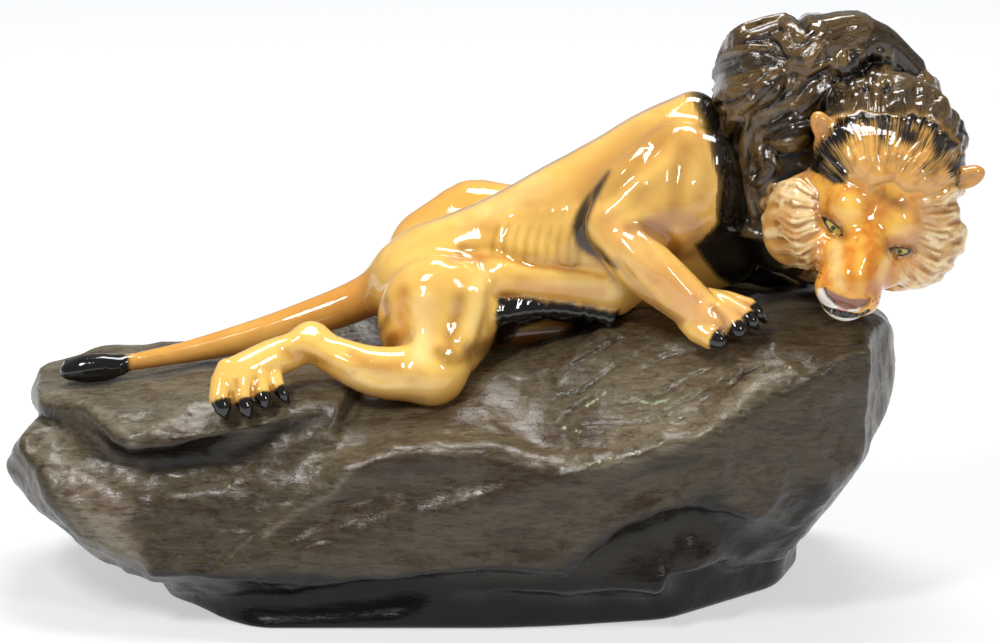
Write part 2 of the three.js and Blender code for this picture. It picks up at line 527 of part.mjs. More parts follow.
/**
 * Edge collapse by least squared distance to the planes met so far, down to a triangle count.
 * weightOf(x, y, z) says how dear a place is; dear places keep more triangles.
 */
function simplify({ positions, triangles }, wanted, weightOf = () => 1) {
  const count = positions.length / 3;
  const quadric = Array.from({ length: count }, () => new Float64Array(10));
  const faces = [];
  const around = Array.from({ length: count }, () => new Set());
  const at = (i) => [positions[3 * i], positions[3 * i + 1], positions[3 * i + 2]];
  const normalOf = (a, b, c) => {
    const u = [b[0] - a[0], b[1] - a[1], b[2] - a[2]], w = [c[0] - a[0], c[1] - a[1], c[2] - a[2]];
    return [u[1] * w[2] - u[2] * w[1], u[2] * w[0] - u[0] * w[2], u[0] * w[1] - u[1] * w[0]];
  };
  for (let i = 0; i < triangles.length; i += 3) {
    const face = [triangles[i], triangles[i + 1], triangles[i + 2]];
    faces.push(face);
    face.forEach((vertex) => around[vertex].add(faces.length - 1));
    const [a, b, c] = face.map(at);
    const n = normalOf(a, b, c);
    const area = Math.hypot(...n) || 1e-12;
    const [x, y, z] = n.map((m) => m / area);
    const w = -(x * a[0] + y * a[1] + z * a[2]);
    const q = [x * x, x * y, x * z, x * w, y * y, y * z, y * w, z * z, z * w, w * w];
    const share = area * weightOf(...a);
    face.forEach((vertex) => q.forEach((value, k) => { quadric[vertex][k] += value * share; }));
  }
  const costAt = (q, [x, y, z]) =>
    q[0] * x * x + 2 * q[1] * x * y + 2 * q[2] * x * z + 2 * q[3] * x + q[4] * y * y
    + 2 * q[5] * y * z + 2 * q[6] * y + q[7] * z * z + 2 * q[8] * z + q[9];
  const bestPlace = (q, a, b) => {
    const m = new THREE.Matrix3().set(q[0], q[1], q[2], q[1], q[4], q[5], q[2], q[5], q[7]);
    const middle = [0, 1, 2].map((k) => (a[k] + b[k]) / 2);
    const scale = (q[0] + q[4] + q[7]) / 3;
    if (Math.abs(m.determinant()) > 1e-3 * scale ** 3) {
      const p = new THREE.Vector3(-q[3], -q[6], -q[8]).applyMatrix3(m.invert()).toArray();
      const span = Math.hypot(...[0, 1, 2].map((k) => a[k] - b[k]));
      if (Math.hypot(...[0, 1, 2].map((k) => p[k] - middle[k])) < 1.5 * span) return p;
    }
    return [middle, a, b].sort((p, r) => costAt(q, p) - costAt(q, r))[0];
  };
  // A binary heap of candidate collapses, cheapest first; stale ones are skipped by their stamp.
  const heap = [];
  const stamp = new Int32Array(count);
  const swap = (i, j) => { [heap[i], heap[j]] = [heap[j], heap[i]]; };
  const push = (item) => {
    heap.push(item);
    for (let i = heap.length - 1; i > 0;) {
      const up = (i - 1) >> 1;
      if (heap[up].cost <= heap[i].cost) break;
      swap(i, up);
      i = up;
    }
  };
  const pop = () => {
    const top = heap[0];
    const end = heap.pop();
    if (heap.length) {
      heap[0] = end;
      for (let i = 0; ;) {
        let least = i;
        for (const child of [2 * i + 1, 2 * i + 2])
          if (child < heap.length && heap[child].cost < heap[least].cost) least = child;
        if (least === i) break;
        swap(i, least);
        i = least;
      }
    }
    return top;
  };
  const neighbours = (i) => {
    const found = new Set();
    for (const f of around[i]) faces[f].forEach((v) => { if (v !== i) found.add(v); });
    return found;
  };
  const propose = (a, b) => {
    const q = quadric[a].map((value, k) => value + quadric[b][k]);
    const pa = at(a), pb = at(b);
    const place = bestPlace(q, pa, pb);
    const span = (pa[0] - pb[0]) ** 2 + (pa[1] - pb[1]) ** 2 + (pa[2] - pb[2]) ** 2;
    push({ a, b, place, cost: costAt(q, place) + 1e-4 * span, stamps: stamp[a] + stamp[b] });
  };
  for (let i = 0; i < count; i++) for (const j of neighbours(i)) if (i < j) propose(i, j);
  let left = faces.length;
  while (left > wanted && heap.length) {
    const { a, b, place, stamps } = pop();
    if (stamp[a] < 0 || stamp[b] < 0 || stamps !== stamp[a] + stamp[b]) continue;
    const nearA = neighbours(a), nearB = neighbours(b);
    if ([...nearA].filter((v) => nearB.has(v)).length !== 2) continue;
    const shared = [...around[a]].filter((f) => around[b].has(f));
    const flips = [a, b].some((moved) => [...around[moved]].some((f) => {
      if (shared.includes(f)) return false;
      const before = normalOf(...faces[f].map(at));
      const after = normalOf(...faces[f].map((v) => v === moved ? place : at(v)));
      const dot = before[0] * after[0] + before[1] * after[1] + before[2] * after[2];
      return dot < 0.2 * Math.hypot(...before) * Math.hypot(...after);
    }));
    if (flips) continue;
    for (const f of shared) {
      faces[f].forEach((v) => around[v].delete(f));
      faces[f] = null;
      left--;
    }
    for (const f of around[b]) {
      faces[f] = faces[f].map((v) => v === b ? a : v);
      around[a].add(f);
    }
    around[b].clear();
    stamp[b] = -1;
    stamp[a] += 1 + Math.max(0, stamps);
    for (let k = 0; k < 3; k++) positions[3 * a + k] = place[k];
    quadric[b].forEach((value, k) => { quadric[a][k] += value; });
    for (const v of neighbours(a)) propose(a, v);
  }
  return { positions, triangles: faces.filter(Boolean).flat() };
}

const wasm = await Module();
wasm.setup();

/** The meshed clay as a solid that can be joined to another. */
function solidOf({ positions, triangles }) {
  const used = new Map();
  const kept = [];
  const triVerts = new Uint32Array(triangles.map((i) => {
    if (!used.has(i)) {
      used.set(i, kept.length / 3);
      kept.push(positions[3 * i], positions[3 * i + 1], positions[3 * i + 2]);
    }
    return used.get(i);
  }));
  return new wasm.Manifold(new wasm.Mesh({ numProp: 3, vertProperties: new Float32Array(kept), triVerts }));
}

/** A solid's skin as a three.js geometry. */
function geometryOf(solid) {
  const { vertProperties, triVerts } = solid.getMesh();
  const geometry = new THREE.BufferGeometry()
    .setAttribute("position", new THREE.BufferAttribute(vertProperties, 3))
    .setIndex(new THREE.BufferAttribute(triVerts, 1));
  geometry.computeVertexNormals();
  return geometry;
}

/** How dear each place on the lion is: the face most, then the mane. */
const dearness = (x, y, z) => {
  const eyes = head.point([0, 22, 0]);
  if (Math.hypot(x - eyes.x, y - eyes.y, z - eyes.z) < 34) return FACE_WEIGHT;
  return x > 96 && z > 140 ? MANE_WEIGHT : 1;
};

const lionSolid = solidOf(simplify(skinOf(lion(), LION_CELL), LION_TRIANGLES, dearness));
const rockSolid = solidOf(simplify(skinOf(rock(), ROCK_CELL), ROCK_TRIANGLES));
const standing = rockSolid.add(lionSolid).trimByPlane([0, 0, 1], 0);

const glaze = new THREE.MeshStandardMaterial({ color: 0xc98a2b, roughness: 0.12, metalness: 0 });
const figure = new THREE.Mesh(geometryOf(standing), glaze);
figure.name = "lion_on_rock";

const group = new THREE.Group();
group.add(figure);

export default group;
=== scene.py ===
"""A glazed porcelain lion lying on a rock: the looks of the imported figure, laid out as an add-on."""
import math

import bmesh
import bpy
import numpy as np
from mathutils import Euler, Matrix, Vector, noise


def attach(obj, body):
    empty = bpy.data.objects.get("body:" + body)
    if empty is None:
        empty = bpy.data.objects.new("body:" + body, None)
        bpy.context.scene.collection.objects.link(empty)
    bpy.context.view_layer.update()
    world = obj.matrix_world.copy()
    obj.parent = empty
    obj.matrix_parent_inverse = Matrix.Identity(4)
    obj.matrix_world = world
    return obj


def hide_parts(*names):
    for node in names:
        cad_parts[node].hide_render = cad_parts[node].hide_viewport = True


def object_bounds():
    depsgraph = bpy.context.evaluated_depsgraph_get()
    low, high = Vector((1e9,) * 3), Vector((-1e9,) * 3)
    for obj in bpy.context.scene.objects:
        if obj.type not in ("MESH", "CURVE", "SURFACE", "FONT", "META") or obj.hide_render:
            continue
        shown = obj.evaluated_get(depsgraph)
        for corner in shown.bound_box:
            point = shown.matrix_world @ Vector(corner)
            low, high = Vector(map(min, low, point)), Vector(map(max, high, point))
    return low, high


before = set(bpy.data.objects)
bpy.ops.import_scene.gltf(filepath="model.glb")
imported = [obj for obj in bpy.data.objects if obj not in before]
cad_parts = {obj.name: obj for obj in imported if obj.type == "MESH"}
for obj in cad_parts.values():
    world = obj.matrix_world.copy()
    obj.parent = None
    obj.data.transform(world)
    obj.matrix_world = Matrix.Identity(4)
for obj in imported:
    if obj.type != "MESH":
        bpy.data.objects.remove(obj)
CAD_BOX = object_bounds()

bl_info = {
    "name": "Porcelain lion on a rock",
    "version": (1, 0, 0),
    "blender": (4, 5, 0),
    "location": "View3D > Sidebar > Figurine",
    "description": "Sculpts and glazes a porcelain lion on its rock, and sets it on a white studio floor",
    "category": "Object",
}

MM = 0.001
# The head's left and its right.
SIDES = (-1, 1)


# The clay: lumps that are pressed together, each with its distance to a point, in millimetres.

def soft_min(a, b, width):
    """The smaller of two distances, with the joint filleted over a width."""
    h = np.maximum(width - np.abs(a - b), 0) / width
    return np.minimum(a, b) - h * h * width / 4


def turned(turn):
    """The 3 by 3 turn of degrees about X, then Y, then Z."""
    return np.array(Euler([math.radians(a) for a in turn], "XYZ").to_matrix())


def unit(v):
    """Each vector at a length of 1."""
    return v / np.maximum(np.linalg.norm(v, axis=-1, keepdims=True), 1e-9)


def rise(x, low, high):
    """0 below low, 1 above high, and a smooth step between."""
    t = np.clip((x - low) / (high - low), 0, 1)
    return t * t * (3 - 2 * t)


def smooth_curve(points, steps):
    """A smooth curve that passes through the points, with a number of steps in each span."""
    p = np.array(points, float)
    p = np.vstack([2 * p[0] - p[1], p, 2 * p[-1] - p[-2]])
    curve = []
    for a, b, c, d in zip(p, p[1:], p[2:], p[3:]):
        ta, tb, tc = [max(1e-4, np.linalg.norm(v) ** 0.5) for v in (b - a, c - b, d - c)]
        m = ((b - a) / ta - (c - a) / (ta + tb) + (c - b) / tb) * tb
        n = ((c - b) / tb - (d - b) / (tb + tc) + (d - c) / tc) * tb
        square, cube = 3 * c - 3 * b - 2 * m - n, 2 * b - 2 * c + m + n
        for t in np.arange(steps) / steps:
            curve.append(b + m * t + square * t * t + cube * t ** 3)
    return np.array(curve + [p[-2]])


class Frame:
    """A place to model in: lumps are given in its own axes and stand in the figure's axes."""

    def __init__(self, origin=(0, 0, 0), turn=(0, 0, 0)):
        self.origin = np.array(origin, float)
        self.axes = turned(turn)

    def point(self, p):
        """Points of this frame's own axes in the figure's."""
        return np.asarray(p, float) @ self.axes.T + self.origin

    def inside(self, at):
        """Points of the figure's axes in this frame's own."""
        return (at - self.origin) @ self.axes

    def egg(self, centre, radii, turn=(0, 0, 0)):
        return Egg(self.point(centre), radii, self.axes @ turned(turn))

    def limb(self, points, radii):
        return Limb(self.point(points), radii)


class Egg:
    """An ellipsoid."""

    def __init__(self, centre, radii, axes):
        self.centre, self.radii, self.axes = centre, np.array(radii, float), axes
        self.low, self.high = centre - self.radii.max(), centre + self.radii.max()

    def distance(self, at):
        q = (at - self.centre) @ self.axes
        near = np.linalg.norm(q / self.radii, axis=1)
        steep = np.linalg.norm(q / self.radii ** 2, axis=1)
        return near * (near - 1) / np.maximum(steep, 1e-9)

    def place_in(self, bm):
        turn = Matrix(self.axes.tolist()).to_4x4()
        size = Matrix.Diagonal((*self.radii, 1))
        bmesh.ops.create_icosphere(
            bm, subdivisions=3, radius=1, matrix=Matrix.Translation(self.centre) @ turn @ size)


class Limb:
    """A round limb along a smooth curve, with a radius at each point; a lock has strands along it."""

    # The rings of a rounded end: how far past the end each lies, and how wide it is, in the end's radii.
    END_RINGS = ((0.95, 0.3), (0.7, 0.72))

    def __init__(self, points, radii, steps=4, strands=0, depth=0.0, outward=(0, -1, 0)):
        self.spine = smooth_curve(points, steps)
        self.radius = np.interp(
            np.linspace(0, len(radii) - 1, len(self.spine)), np.arange(len(radii)), radii)
        self.strands, self.depth = strands, depth
        self.low = (self.spine - self.radius[:, None] * (1 + depth)).min(0)
        self.high = (self.spine + self.radius[:, None] * (1 + depth)).max(0)
        self.span = np.diff(self.spine, axis=0)
        self.square = np.maximum((self.span ** 2).sum(1), 1e-9)
        self.side = unit(np.cross(self.span, outward))
        self.start = np.concatenate([[0], np.cumsum(np.sqrt(self.square))])

    def trace(self, at):
        """Each point's distance, its place across the limb from -1 to 1, and its place along it."""
        offset = at[:, None] - self.spine[None, :-1]
        h = np.clip(np.einsum("nmk,mk->nm", offset, self.span) / self.square, 0, 1)
        offset -= h[..., None] * self.span
        away = np.sqrt(np.einsum("nmk,nmk->nm", offset, offset))
        radius = self.radius[:-1] + np.diff(self.radius) * h
        if self.strands:
            across = np.einsum("nmk,mk->nm", offset, self.side) / np.maximum(away, 1e-6)
            radius *= 1 + self.depth * np.cos(math.pi * self.strands * across)
        d = away - radius
        nearest = d.argmin(1)
        rows = np.arange(len(at))
        if not self.strands:
            return d[rows, nearest], None, None
        along = self.start[nearest] + h[rows, nearest] * np.sqrt(self.square[nearest])
        return d[rows, nearest], across[rows, nearest], along

    def distance(self, at):
        return self.trace(at)[0]

    def outline(self):
        """The limb as a list of (point, radius) for a tube with rounded ends."""
        first, last = unit(self.span[0]) * self.radius[0], unit(self.span[-1]) * self.radius[-1]
        return (
            [(self.spine[0] - out * first, size * self.radius[0]) for out, size in self.END_RINGS]
            + list(zip(self.spine, self.radius))
            + [(self.spine[-1] + out * last, size * self.radius[-1]) for out, size in self.END_RINGS[::-1]])


class Block:
    """A block of stone inside a box, split by faces: each is (azimuth, elevation, a point on it)."""

    def __init__(self, low, high, faces, rounding=7):
        self.low, self.high, self.rounding = np.array(low, float), np.array(high, float), rounding
        self.normals, self.aways = [], []
        for azimuth, elevation, on in faces:
            a, e = math.radians(azimuth), math.radians(elevation)
            n = np.array([math.cos(e) * math.cos(a), math.cos(e) * math.sin(a), math.sin(e)])
            self.normals.append(n)
            self.aways.append(n @ np.array(on, float))
        self.splits = len(faces)
        for k in range(3):
            self.normals += [np.eye(3)[k], -np.eye(3)[k]]
            self.aways += [self.high[k], -self.low[k]]

    def distance(self, at):
        most = np.full(len(at), -1000.0)
        for n, away in zip(self.normals, self.aways):
            most = -soft_min(-most, away - at @ n, self.rounding)
        return most

    def place_in(self, bm):
        own = bmesh.new()
        size = Matrix.Diagonal((*(self.high - self.low), 1))
        bmesh.ops.create_cube(own, size=1, matrix=Matrix.Translation((self.low + self.high) / 2) @ size)
        for n, away in zip(self.normals[:self.splits], self.aways):
            split = bmesh.ops.bisect_plane(
                own, geom=own.verts[:] + own.edges[:] + own.faces[:],
                plane_co=Vector(n * away), plane_no=Vector(n), clear_outer=True)
            rim = [part for part in split["geom_cut"] if isinstance(part, bmesh.types.BMEdge)]
            if rim:
                bmesh.ops.edgeloop_fill(own, edges=rim)
        bmesh.ops.recalc_face_normals(own, faces=own.faces[:])
        mesh = bpy.data.meshes.new("stone block")
        own.to_mesh(mesh)
        own.free()
        bm.from_mesh(mesh)
        bpy.data.meshes.remove(mesh)


# How many steps a lock, a furrow or a ridge has between two of its points.
FINE_STEPS = 5
# The gentlest slope and the longest single move that pressing a point to the skin reckons with.
GENTLEST = 0.4
LONGEST_MOVE = 6


class Clay:
    """Lumps pressed together in order; each joins or cuts what is there with its own softness."""

    # How far past its softness a lump is felt, and the distance of a point that no lump reaches.
    REACH = 3
    FAR_OFF = 60.0
    # With fewer points than this, the lumps near them are found all at once.
    FEW = 200

    def __init__(self):
        self.lumps = []
        self.softness = []
        self.cuts = []
        self.names = []
        self.name = ""

    def add(self, lump, soft=6, cut=False):
        self.lumps.append(lump)
        self.softness.append(soft)
        self.cuts.append(cut)
        self.names.append(self.name)
        return lump

    def cut(self, lump, soft):
        return self.add(lump, soft, cut=True)

    def near(self, at):
        """For each lump in order, the points that it may touch."""
        reach = np.array(self.softness)[:, None] + self.REACH
        low = np.array([lump.low for lump in self.lumps]) - reach
        high = np.array([lump.high for lump in self.lumps]) + reach
        if len(at) < self.FEW:
            touch = ((at[None] > low[:, None]) & (at[None] < high[:, None])).all(2)
            for i in np.nonzero(touch.any(1))[0]:
                yield i, np.nonzero(touch[i])[0]
            return
        for i in range(len(self.lumps)):
            yield i, np.nonzero(((at > low[i]) & (at < high[i])).all(1))[0]

    def distance(self, at):
        d = np.full(len(at), self.FAR_OFF)
        for i, near in self.near(at):
            if len(near):
                here = self.lumps[i].distance(at[near])
                soft = self.softness[i]
                if self.cuts[i]:
                    d[near] = -soft_min(-d[near], here, soft)
                else:
                    d[near] = soft_min(d[near], here, soft)
        return d

    def slope(self, at, here=None, step=0.3):
        """How the distance grows along each axis; it points out of the skin."""
        here = self.distance(at) if here is None else here
        return np.stack([(self.distance(at + step * np.eye(3)[k]) - here) / step for k in range(3)], 1)

    def press(self, points, heights, rounds=8):
        """Points moved straight in or out until each stands its height above the skin."""
        at = np.array(points, float)
        for _ in range(rounds):
            here = self.distance(at)
            slope = self.slope(at, here, step=0.4)
            steep = np.maximum(GENTLEST, np.linalg.norm(slope, axis=1))
            at -= (np.clip((here - heights) / steep, -LONGEST_MOVE, LONGEST_MOVE) / steep)[:, None] * slope
        return at

    def lock(self, place, points, radii, soft=2, sunk=0.4, strands=0, depth=0.08):
        """A lock of hair laid along the skin through the points, half sunk into it."""
        radii = np.array(radii, float)
        laid = self.press(place.point(points), -sunk * radii)
        outward = unit(self.slope(laid[len(laid) // 2][None]))[0]
        return self.add(Limb(laid, radii, FINE_STEPS, strands, depth, outward), soft)


# The photograph's view: the place that the camera looks at and its distance, in millimetres, its angle
# above the floor in degrees, its lens, and the picture's size in pixels.
VIEW_TARGET = np.array((0, 0, 116.0))
VIEW_ELEVATION = 15
VIEW_DISTANCE = 1400
LENS = 114.55
SENSOR = 36
IMAGE_SIZE = (1000, 643)
PIXEL = SENSOR / LENS / IMAGE_SIZE[0]
TILT = math.radians(VIEW_ELEVATION)
LOOKING = np.array((0, math.cos(TILT), -math.sin(TILT)))
UPWARD = np.array((0, math.sin(TILT), math.cos(TILT)))
EYE = VIEW_TARGET - VIEW_DISTANCE * LOOKING
# The depths at which a line of sight is tested, from in front of the figure to its back.
SIGHT_DEPTHS = np.arange(-115, 95, 2.0)


def seen_at(clay, seen):
    """The points of the skin that show at places of the photograph, given as its pixels."""
    seen = np.array(seen, float)
    ray = LOOKING + np.outer((seen[:, 0] - IMAGE_SIZE[0] / 2) * PIXEL, (1, 0, 0))
    ray += np.outer((IMAGE_SIZE[1] / 2 - seen[:, 1]) * PIXEL, UPWARD)
    steps = (SIGHT_DEPTHS[None] - EYE[1]) / ray[:, 1:2]
    along = EYE + steps[..., None] * ray[:, None]
    d = clay.distance(along.reshape(-1, 3)).reshape(steps.shape)
    hit = np.where((d < 0).any(1), (d < 0).argmax(1), d.argmin(1))
    return clay.press(along[np.arange(len(seen)), hit], np.zeros(len(seen)), 3)


def seen_lock(clay, seen, radii, **how):
    """A lock that shows along a path in the photograph."""
    return clay.lock(world, seen_at(clay, seen), tapered(radii, len(seen)), **how)


def folds(clay, table):
    """Furrows between muscles; each row is a radius, a depth and the furrow's path in the photograph."""
    for radius, depth, *seen in table:
        groove(clay, seen_at(clay, seen), radius, depth, soft=3)


def muscles(clay, table, soft):
    """Muscles under the skin; each row is a radius and the muscle's path in the photograph."""
    for radius, *seen in table:
        seen_lock(clay, seen, radius, soft=soft, sunk=0.6)


def tapered(radius, count):
    """A radius at each of a lock's points: slim at its root, full in its middle, fine at its tip."""
    t = np.linspace(0, 1, count)
    swell = 0.55 + 0.45 * np.sin(math.pi * np.minimum(t * 1.25, 1) ** 0.8)
    return radius * swell * (1 - 0.45 * t ** 3)


def groove(clay, points, radius, depth, soft):
    """A furrow pressed into the skin along points on it."""
    laid = clay.press(points, np.full(len(points), radius - depth))
    ends = np.sin(np.linspace(0.25, math.pi - 0.25, len(points)))
    clay.cut(Limb(laid, radius * (0.5 + 0.5 * ends), FINE_STEPS), soft)


world = Frame()
SPINE_SLOPE = (0, -24, 0)


def trunk(clay):
    """The chest, the flank, the ridge of the spine, the loin and the underside."""
    clay.add(world.egg((78, 2, 172), (40, 36, 39), SPINE_SLOPE), soft=10)
    clay.add(world.egg((48, 1, 160), (46, 31, 33), SPINE_SLOPE), soft=14)
    clay.add(world.limb(
        [(44, 1, 160), (20, 3, 153), (-2, 5, 145), (-26, 6, 135)], (28, 24, 22, 23)), soft=12)
    clay.add(world.limb(
        [(84, 1, 209), (43, 1, 181), (9, 2, 165), (-20, 4, 150), (-44, 8, 136)],
        (9, 9, 9, 9, 8)), soft=12)
    clay.add(world.egg((-32, 7, 130), (24, 28, 21), SPINE_SLOPE), soft=12)
    clay.add(world.limb(
        [(-22, 10, 117), (20, 10, 127), (60, 8, 140), (96, 8, 150)], (14, 17, 21, 20)), soft=10)


# Where the ribs show in the photograph: the first one's place, their pitch and their number. Each point
# of a rib's path, from the back down to the belly's fold, has its place across, its place down, and how
# much further down it lies on each next rib.
RIB_FROM = 497
RIB_PITCH = 10.8
RIBS = 8
RIB_PATH = ((13, 216, -1), (7, 228, 0), (2, 243, 0), (0, 254, 1.3))


def ribs(clay):
    """Ribs that show faintly through the flank."""
    for i in range(RIBS):
        x = RIB_FROM + i * RIB_PITCH + 1.5 * math.sin(i * 2.4)
        seen = [(x + across, down + i * more) for across, down, more in RIB_PATH]
        clay.lock(world, seen_at(clay, seen), (0.4, 1.2, 1.7, 1.0), soft=3.5, sunk=0.4)


# The fold over the belly, as it shows in the photograph.
BELLY_FOLD = ((462, 250), (494, 249), (521, 260), (552, 265), (599, 271))
FRINGE_LOCKS = 13


def belly(clay):
    """The belly with its fold, and the black fringe of hair under it."""
    clay.add(world.limb([(2, -18, 141), (26, -20, 139), (48, -20, 135)], (10, 11, 11)), soft=12)
    groove(clay, seen_at(clay, BELLY_FOLD), 2.6, 1.5, soft=2.5)
    clay.name = "fringe"
    clay.add(world.limb(
        [(-4, -14, 122), (12, -16, 128), (28, -16, 125), (46, -14, 124)], (3, 5, 5, 4)), soft=3)
    for i in range(FRINGE_LOCKS):
        x = -6 + i * 4.4
        top = 130 + 4 * math.sin(i / (FRINGE_LOCKS - 1) * math.pi)
        path = [(x + 3, -27, top), (x + 1, -29, top - 5), (x - 1 + i % 3, -28, top - 9 + i % 2)]
        clay.add(world.limb(path, (1.8, 2.4, 0.8)), soft=1)
    clay.name = "skin"


# The middle line of the tail, and of the tuft at its end.
TAIL = (
    (-44, 10, 136), (-58, 12, 125), (-88, 10, 113.5), (-115, 5, 106.5), (-141, 0, 101.5), (-168, -4, 97.5))
TUFT = ((-165, -4, 98), (-174, -6, 97.5), (-183, -7, 96.5), (-189, -8, 95.5))
TUFT_LOCKS = 9


def tail(clay):
    """The tail, and its tuft with small locks all round."""
    clay.add(world.limb(TAIL, (11, 9.5, 8, 6.5, 4.6, 3.4)), soft=5)
    clay.name = "tuft"
    clay.add(world.limb(TUFT, (3.6, 5.4, 5.6, 4.0)), soft=2)
    for i in range(TUFT_LOCKS):
        a = i / TUFT_LOCKS * math.tau
        path = []
        for x, away in ((-165, 3), (-174, 4.6), (-183, 4.8), (-191 - i % 3, 2.6)):
            path.append((x, -6 + away * math.cos(a), 97 + away * math.sin(a) - (x + 165) * -0.05))
        clay.add(world.limb(path, (0.8, 1.5, 1.4, 0.8)), soft=0.8)
    clay.name = "skin"


def toe(clay, knuckle, tip, claw, radius):
    """A toe from its root over the knuckle to the tip, and its black claw."""
    knuckle, tip, claw = np.array((knuckle, tip, claw), float)
    clay.add(Limb([2 * knuckle - tip, knuckle, tip], (radius * 0.75, radius, radius * 0.88)), soft=1.5)
    clay.name = "claw"
    nail = [tip * 0.95 + claw * 0.05, (tip + claw) / 2 + (0, -1.4, 0.8), claw]
    clay.add(Limb(nail, (radius * 0.82, radius * 0.7, 0.8)), soft=0.6)
    clay.name = "skin"


# Each toe of the near paws: its knuckle, its tip, its claw's point and its radius.
HIND_TOES = (
    ((-117, -62, 106), (-118, -67, 101), (-115, -70, 92), 5.2),
    ((-109, -60, 106), (-109, -66, 100.5), (-105, -69, 92), 4.8),
    ((-101.5, -57, 106.5), (-101, -62, 102), (-98, -65, 94.5), 4.4),
    ((-96, -54, 107), (-94.5, -58, 103.5), (-89, -60, 95.5), 3.6),
)
FORE_TOES = (
    ((83.5, -62, 129), (88, -66, 127), (95, -68, 123.5), 5.8),
    ((91, -61, 136), (97, -64, 132), (102.5, -67, 126.5), 5),
    ((95.5, -55, 138), (102.5, -59, 135), (108.5, -62, 129), 4.4),
    ((96, -50, 139), (105, -52, 137), (112.5, -54, 130), 3.8),
)
# The furrows and muscles of the near legs, as they show in the photograph.
THIGH_FOLDS = (
    (4.5, 1.3, (403, 296), (402, 312), (404, 330)),
    (5.0, 1.0, (458, 300), (456, 320), (450, 338)),
    (3.0, 0.9, (440, 352), (450, 360), (462, 362)),
    (3.0, 1.3, (284, 352), (298, 356), (314, 360)),
    (4.0, 0.9, (360, 372), (382, 378), (404, 380)),
    (3.5, 0.9, (322, 345), (336, 352), (352, 356)),
    (3.5, 0.9, (450, 262), (466, 258), (482, 258)),
)
THIGH_MUSCLES = (
    (3.6, (424, 300), (424, 325), (420, 350), (412, 372)),
    (3.4, (478, 290), (477, 312), (468, 340)),
    (2.6, (300, 338), (325, 350), (352, 366)),
)
SHOULDER_FOLDS = (
    (4.0, 1.5, (686, 128), (683, 150), (680, 172), (677, 200), (677, 222)),
    (3.6, 1.2, (666, 132), (655, 146), (640, 163)),
    (3.5, 1.4, (632, 232), (646, 230), (664, 236)),
    (3.0, 1.0, (618, 262), (634, 280), (652, 296)),
    (3.0, 0.8, (640, 268), (656, 284), (668, 300)),
    (1.6, 1.0, (716, 312), (724, 321), (728, 330)),
)
SHOULDER_MUSCLES = (
    (2.4, (642, 150), (626, 172), (606, 196)),
    (3.4, (640, 185), (624, 200), (606, 216)),
    (2.6, (636, 232), (652, 250), (672, 274), (690, 296)),
    (2.2, (622, 240), (636, 256), (656, 276)),
)


def near_hind_leg(clay):
    """The near thigh, the shin that lies along the rock, and the hind paw over the ledge."""
    clay.add(world.egg((-27, -22, 123), (26, 19, 30), (14, 6, 0)), soft=8)
    clay.add(world.limb([(-24, -34, 112), (-29, -44, 104)], (15, 12.5)), soft=8)
    clay.add(world.limb(
        [(-28, -44, 105), (-52, -46, 106), (-70, -43, 112), (-82, -40, 118)],
        (13, 11, 8.5, 6.5)), soft=5)
    clay.add(world.egg((-80, -38, 120), (6, 5, 5.4)), soft=6)
    clay.add(world.limb([(-82, -41, 117), (-97, -47, 112), (-110, -55, 107)], (7, 8.5, 9)), soft=4)
    clay.add(world.egg((-112, -57, 105), (8, 10, 7)), soft=3)
    for shape in HIND_TOES:
        toe(clay, *shape)
    folds(clay, THIGH_FOLDS)
    muscles(clay, THIGH_MUSCLES, soft=5)


def far_hind_leg(clay):
    """The far thigh with its raised knee, and the far paw on the rock."""
    clay.add(world.egg((-26, 30, 138), (26, 16, 22), (0, -26, 0)), soft=8)
    clay.add(world.limb([(-30, 32, 142), (-12, 38, 154), (2, 38, 156)], (17, 17, 13)), soft=6)
    clay.add(world.limb([(4, 38, 154), (2, 42, 136), (-4, 44, 118)], (12, 10, 7)), soft=5)
    clay.add(world.limb([(-4, 44, 116), (14, 36, 112), (24, 26, 112)], (7, 7, 7)), soft=4)
    clay.add(world.limb([(-8, 4, 106), (10, 0, 112), (26, -4, 114)], (8, 9, 7)), soft=4)
    for y in (34, 27):
        toe(clay, (24, y, 114), (30, y - 3, 114), (36, y - 6, 112), 3.8)


def near_foreleg(clay):
    """The near shoulder and upper arm, the elbow, and the forearm down to the paw."""
    clay.add(world.egg((73, -22, 182), (20, 15, 28), (0, 22, 0)), soft=8)
    clay.add(world.egg((66, -30, 176), (27, 15, 22), (0, 12, 0)), soft=8)
    clay.add(world.limb([(58, -34, 172), (46, -37, 170)], (13, 9)), soft=6)
    clay.add(world.egg((88, -22, 182), (12, 17, 24), (0, 10, 0)), soft=4)
    clay.add(world.limb(
        [(48, -38, 166), (60, -48, 154), (72, -53, 145), (83, -56, 136)], (11.5, 12.5, 11, 9.5)), soft=5)
    clay.add(world.egg((88, -57, 133), (10, 10, 8), (0, 30, 0)), soft=3)
    for shape in FORE_TOES:
        toe(clay, *shape)
    folds(clay, SHOULDER_FOLDS)
    muscles(clay, SHOULDER_MUSCLES, soft=4)


def far_foreleg(clay):
    """The far shoulder, and the forearm that lies under the mane."""
    clay.add(world.egg((80, 28, 172), (24, 15, 26), (0, 15, 0)), soft=8)
    clay.add(world.limb([(70, 38, 160), (86, 42, 144), (112, 38, 134)], (13, 12, 9)), soft=5)
    clay.add(world.egg((120, 35, 130), (10, 11, 8)), soft=3)
    for i in range(4):
        y = 27 + 5.5 * i
        reach = 3 * math.sin(i / 3 * math.pi)
        toe(clay, (125 + reach, y, 131), (132 + reach, y, 127.5), (138.5 + reach, y, 122), 4.6)


# The head's own axes: +X to its right, +Y out of the face, +Z to the crown, from between the eyes.
HEAD_AT = (154.3, -44.9, 172.3)
HEAD_TURN = (-6, -18, -184)
EYE_SLANT = 19
BROW_HALF_SPREAD = 10.6
head = Frame(HEAD_AT, HEAD_TURN)

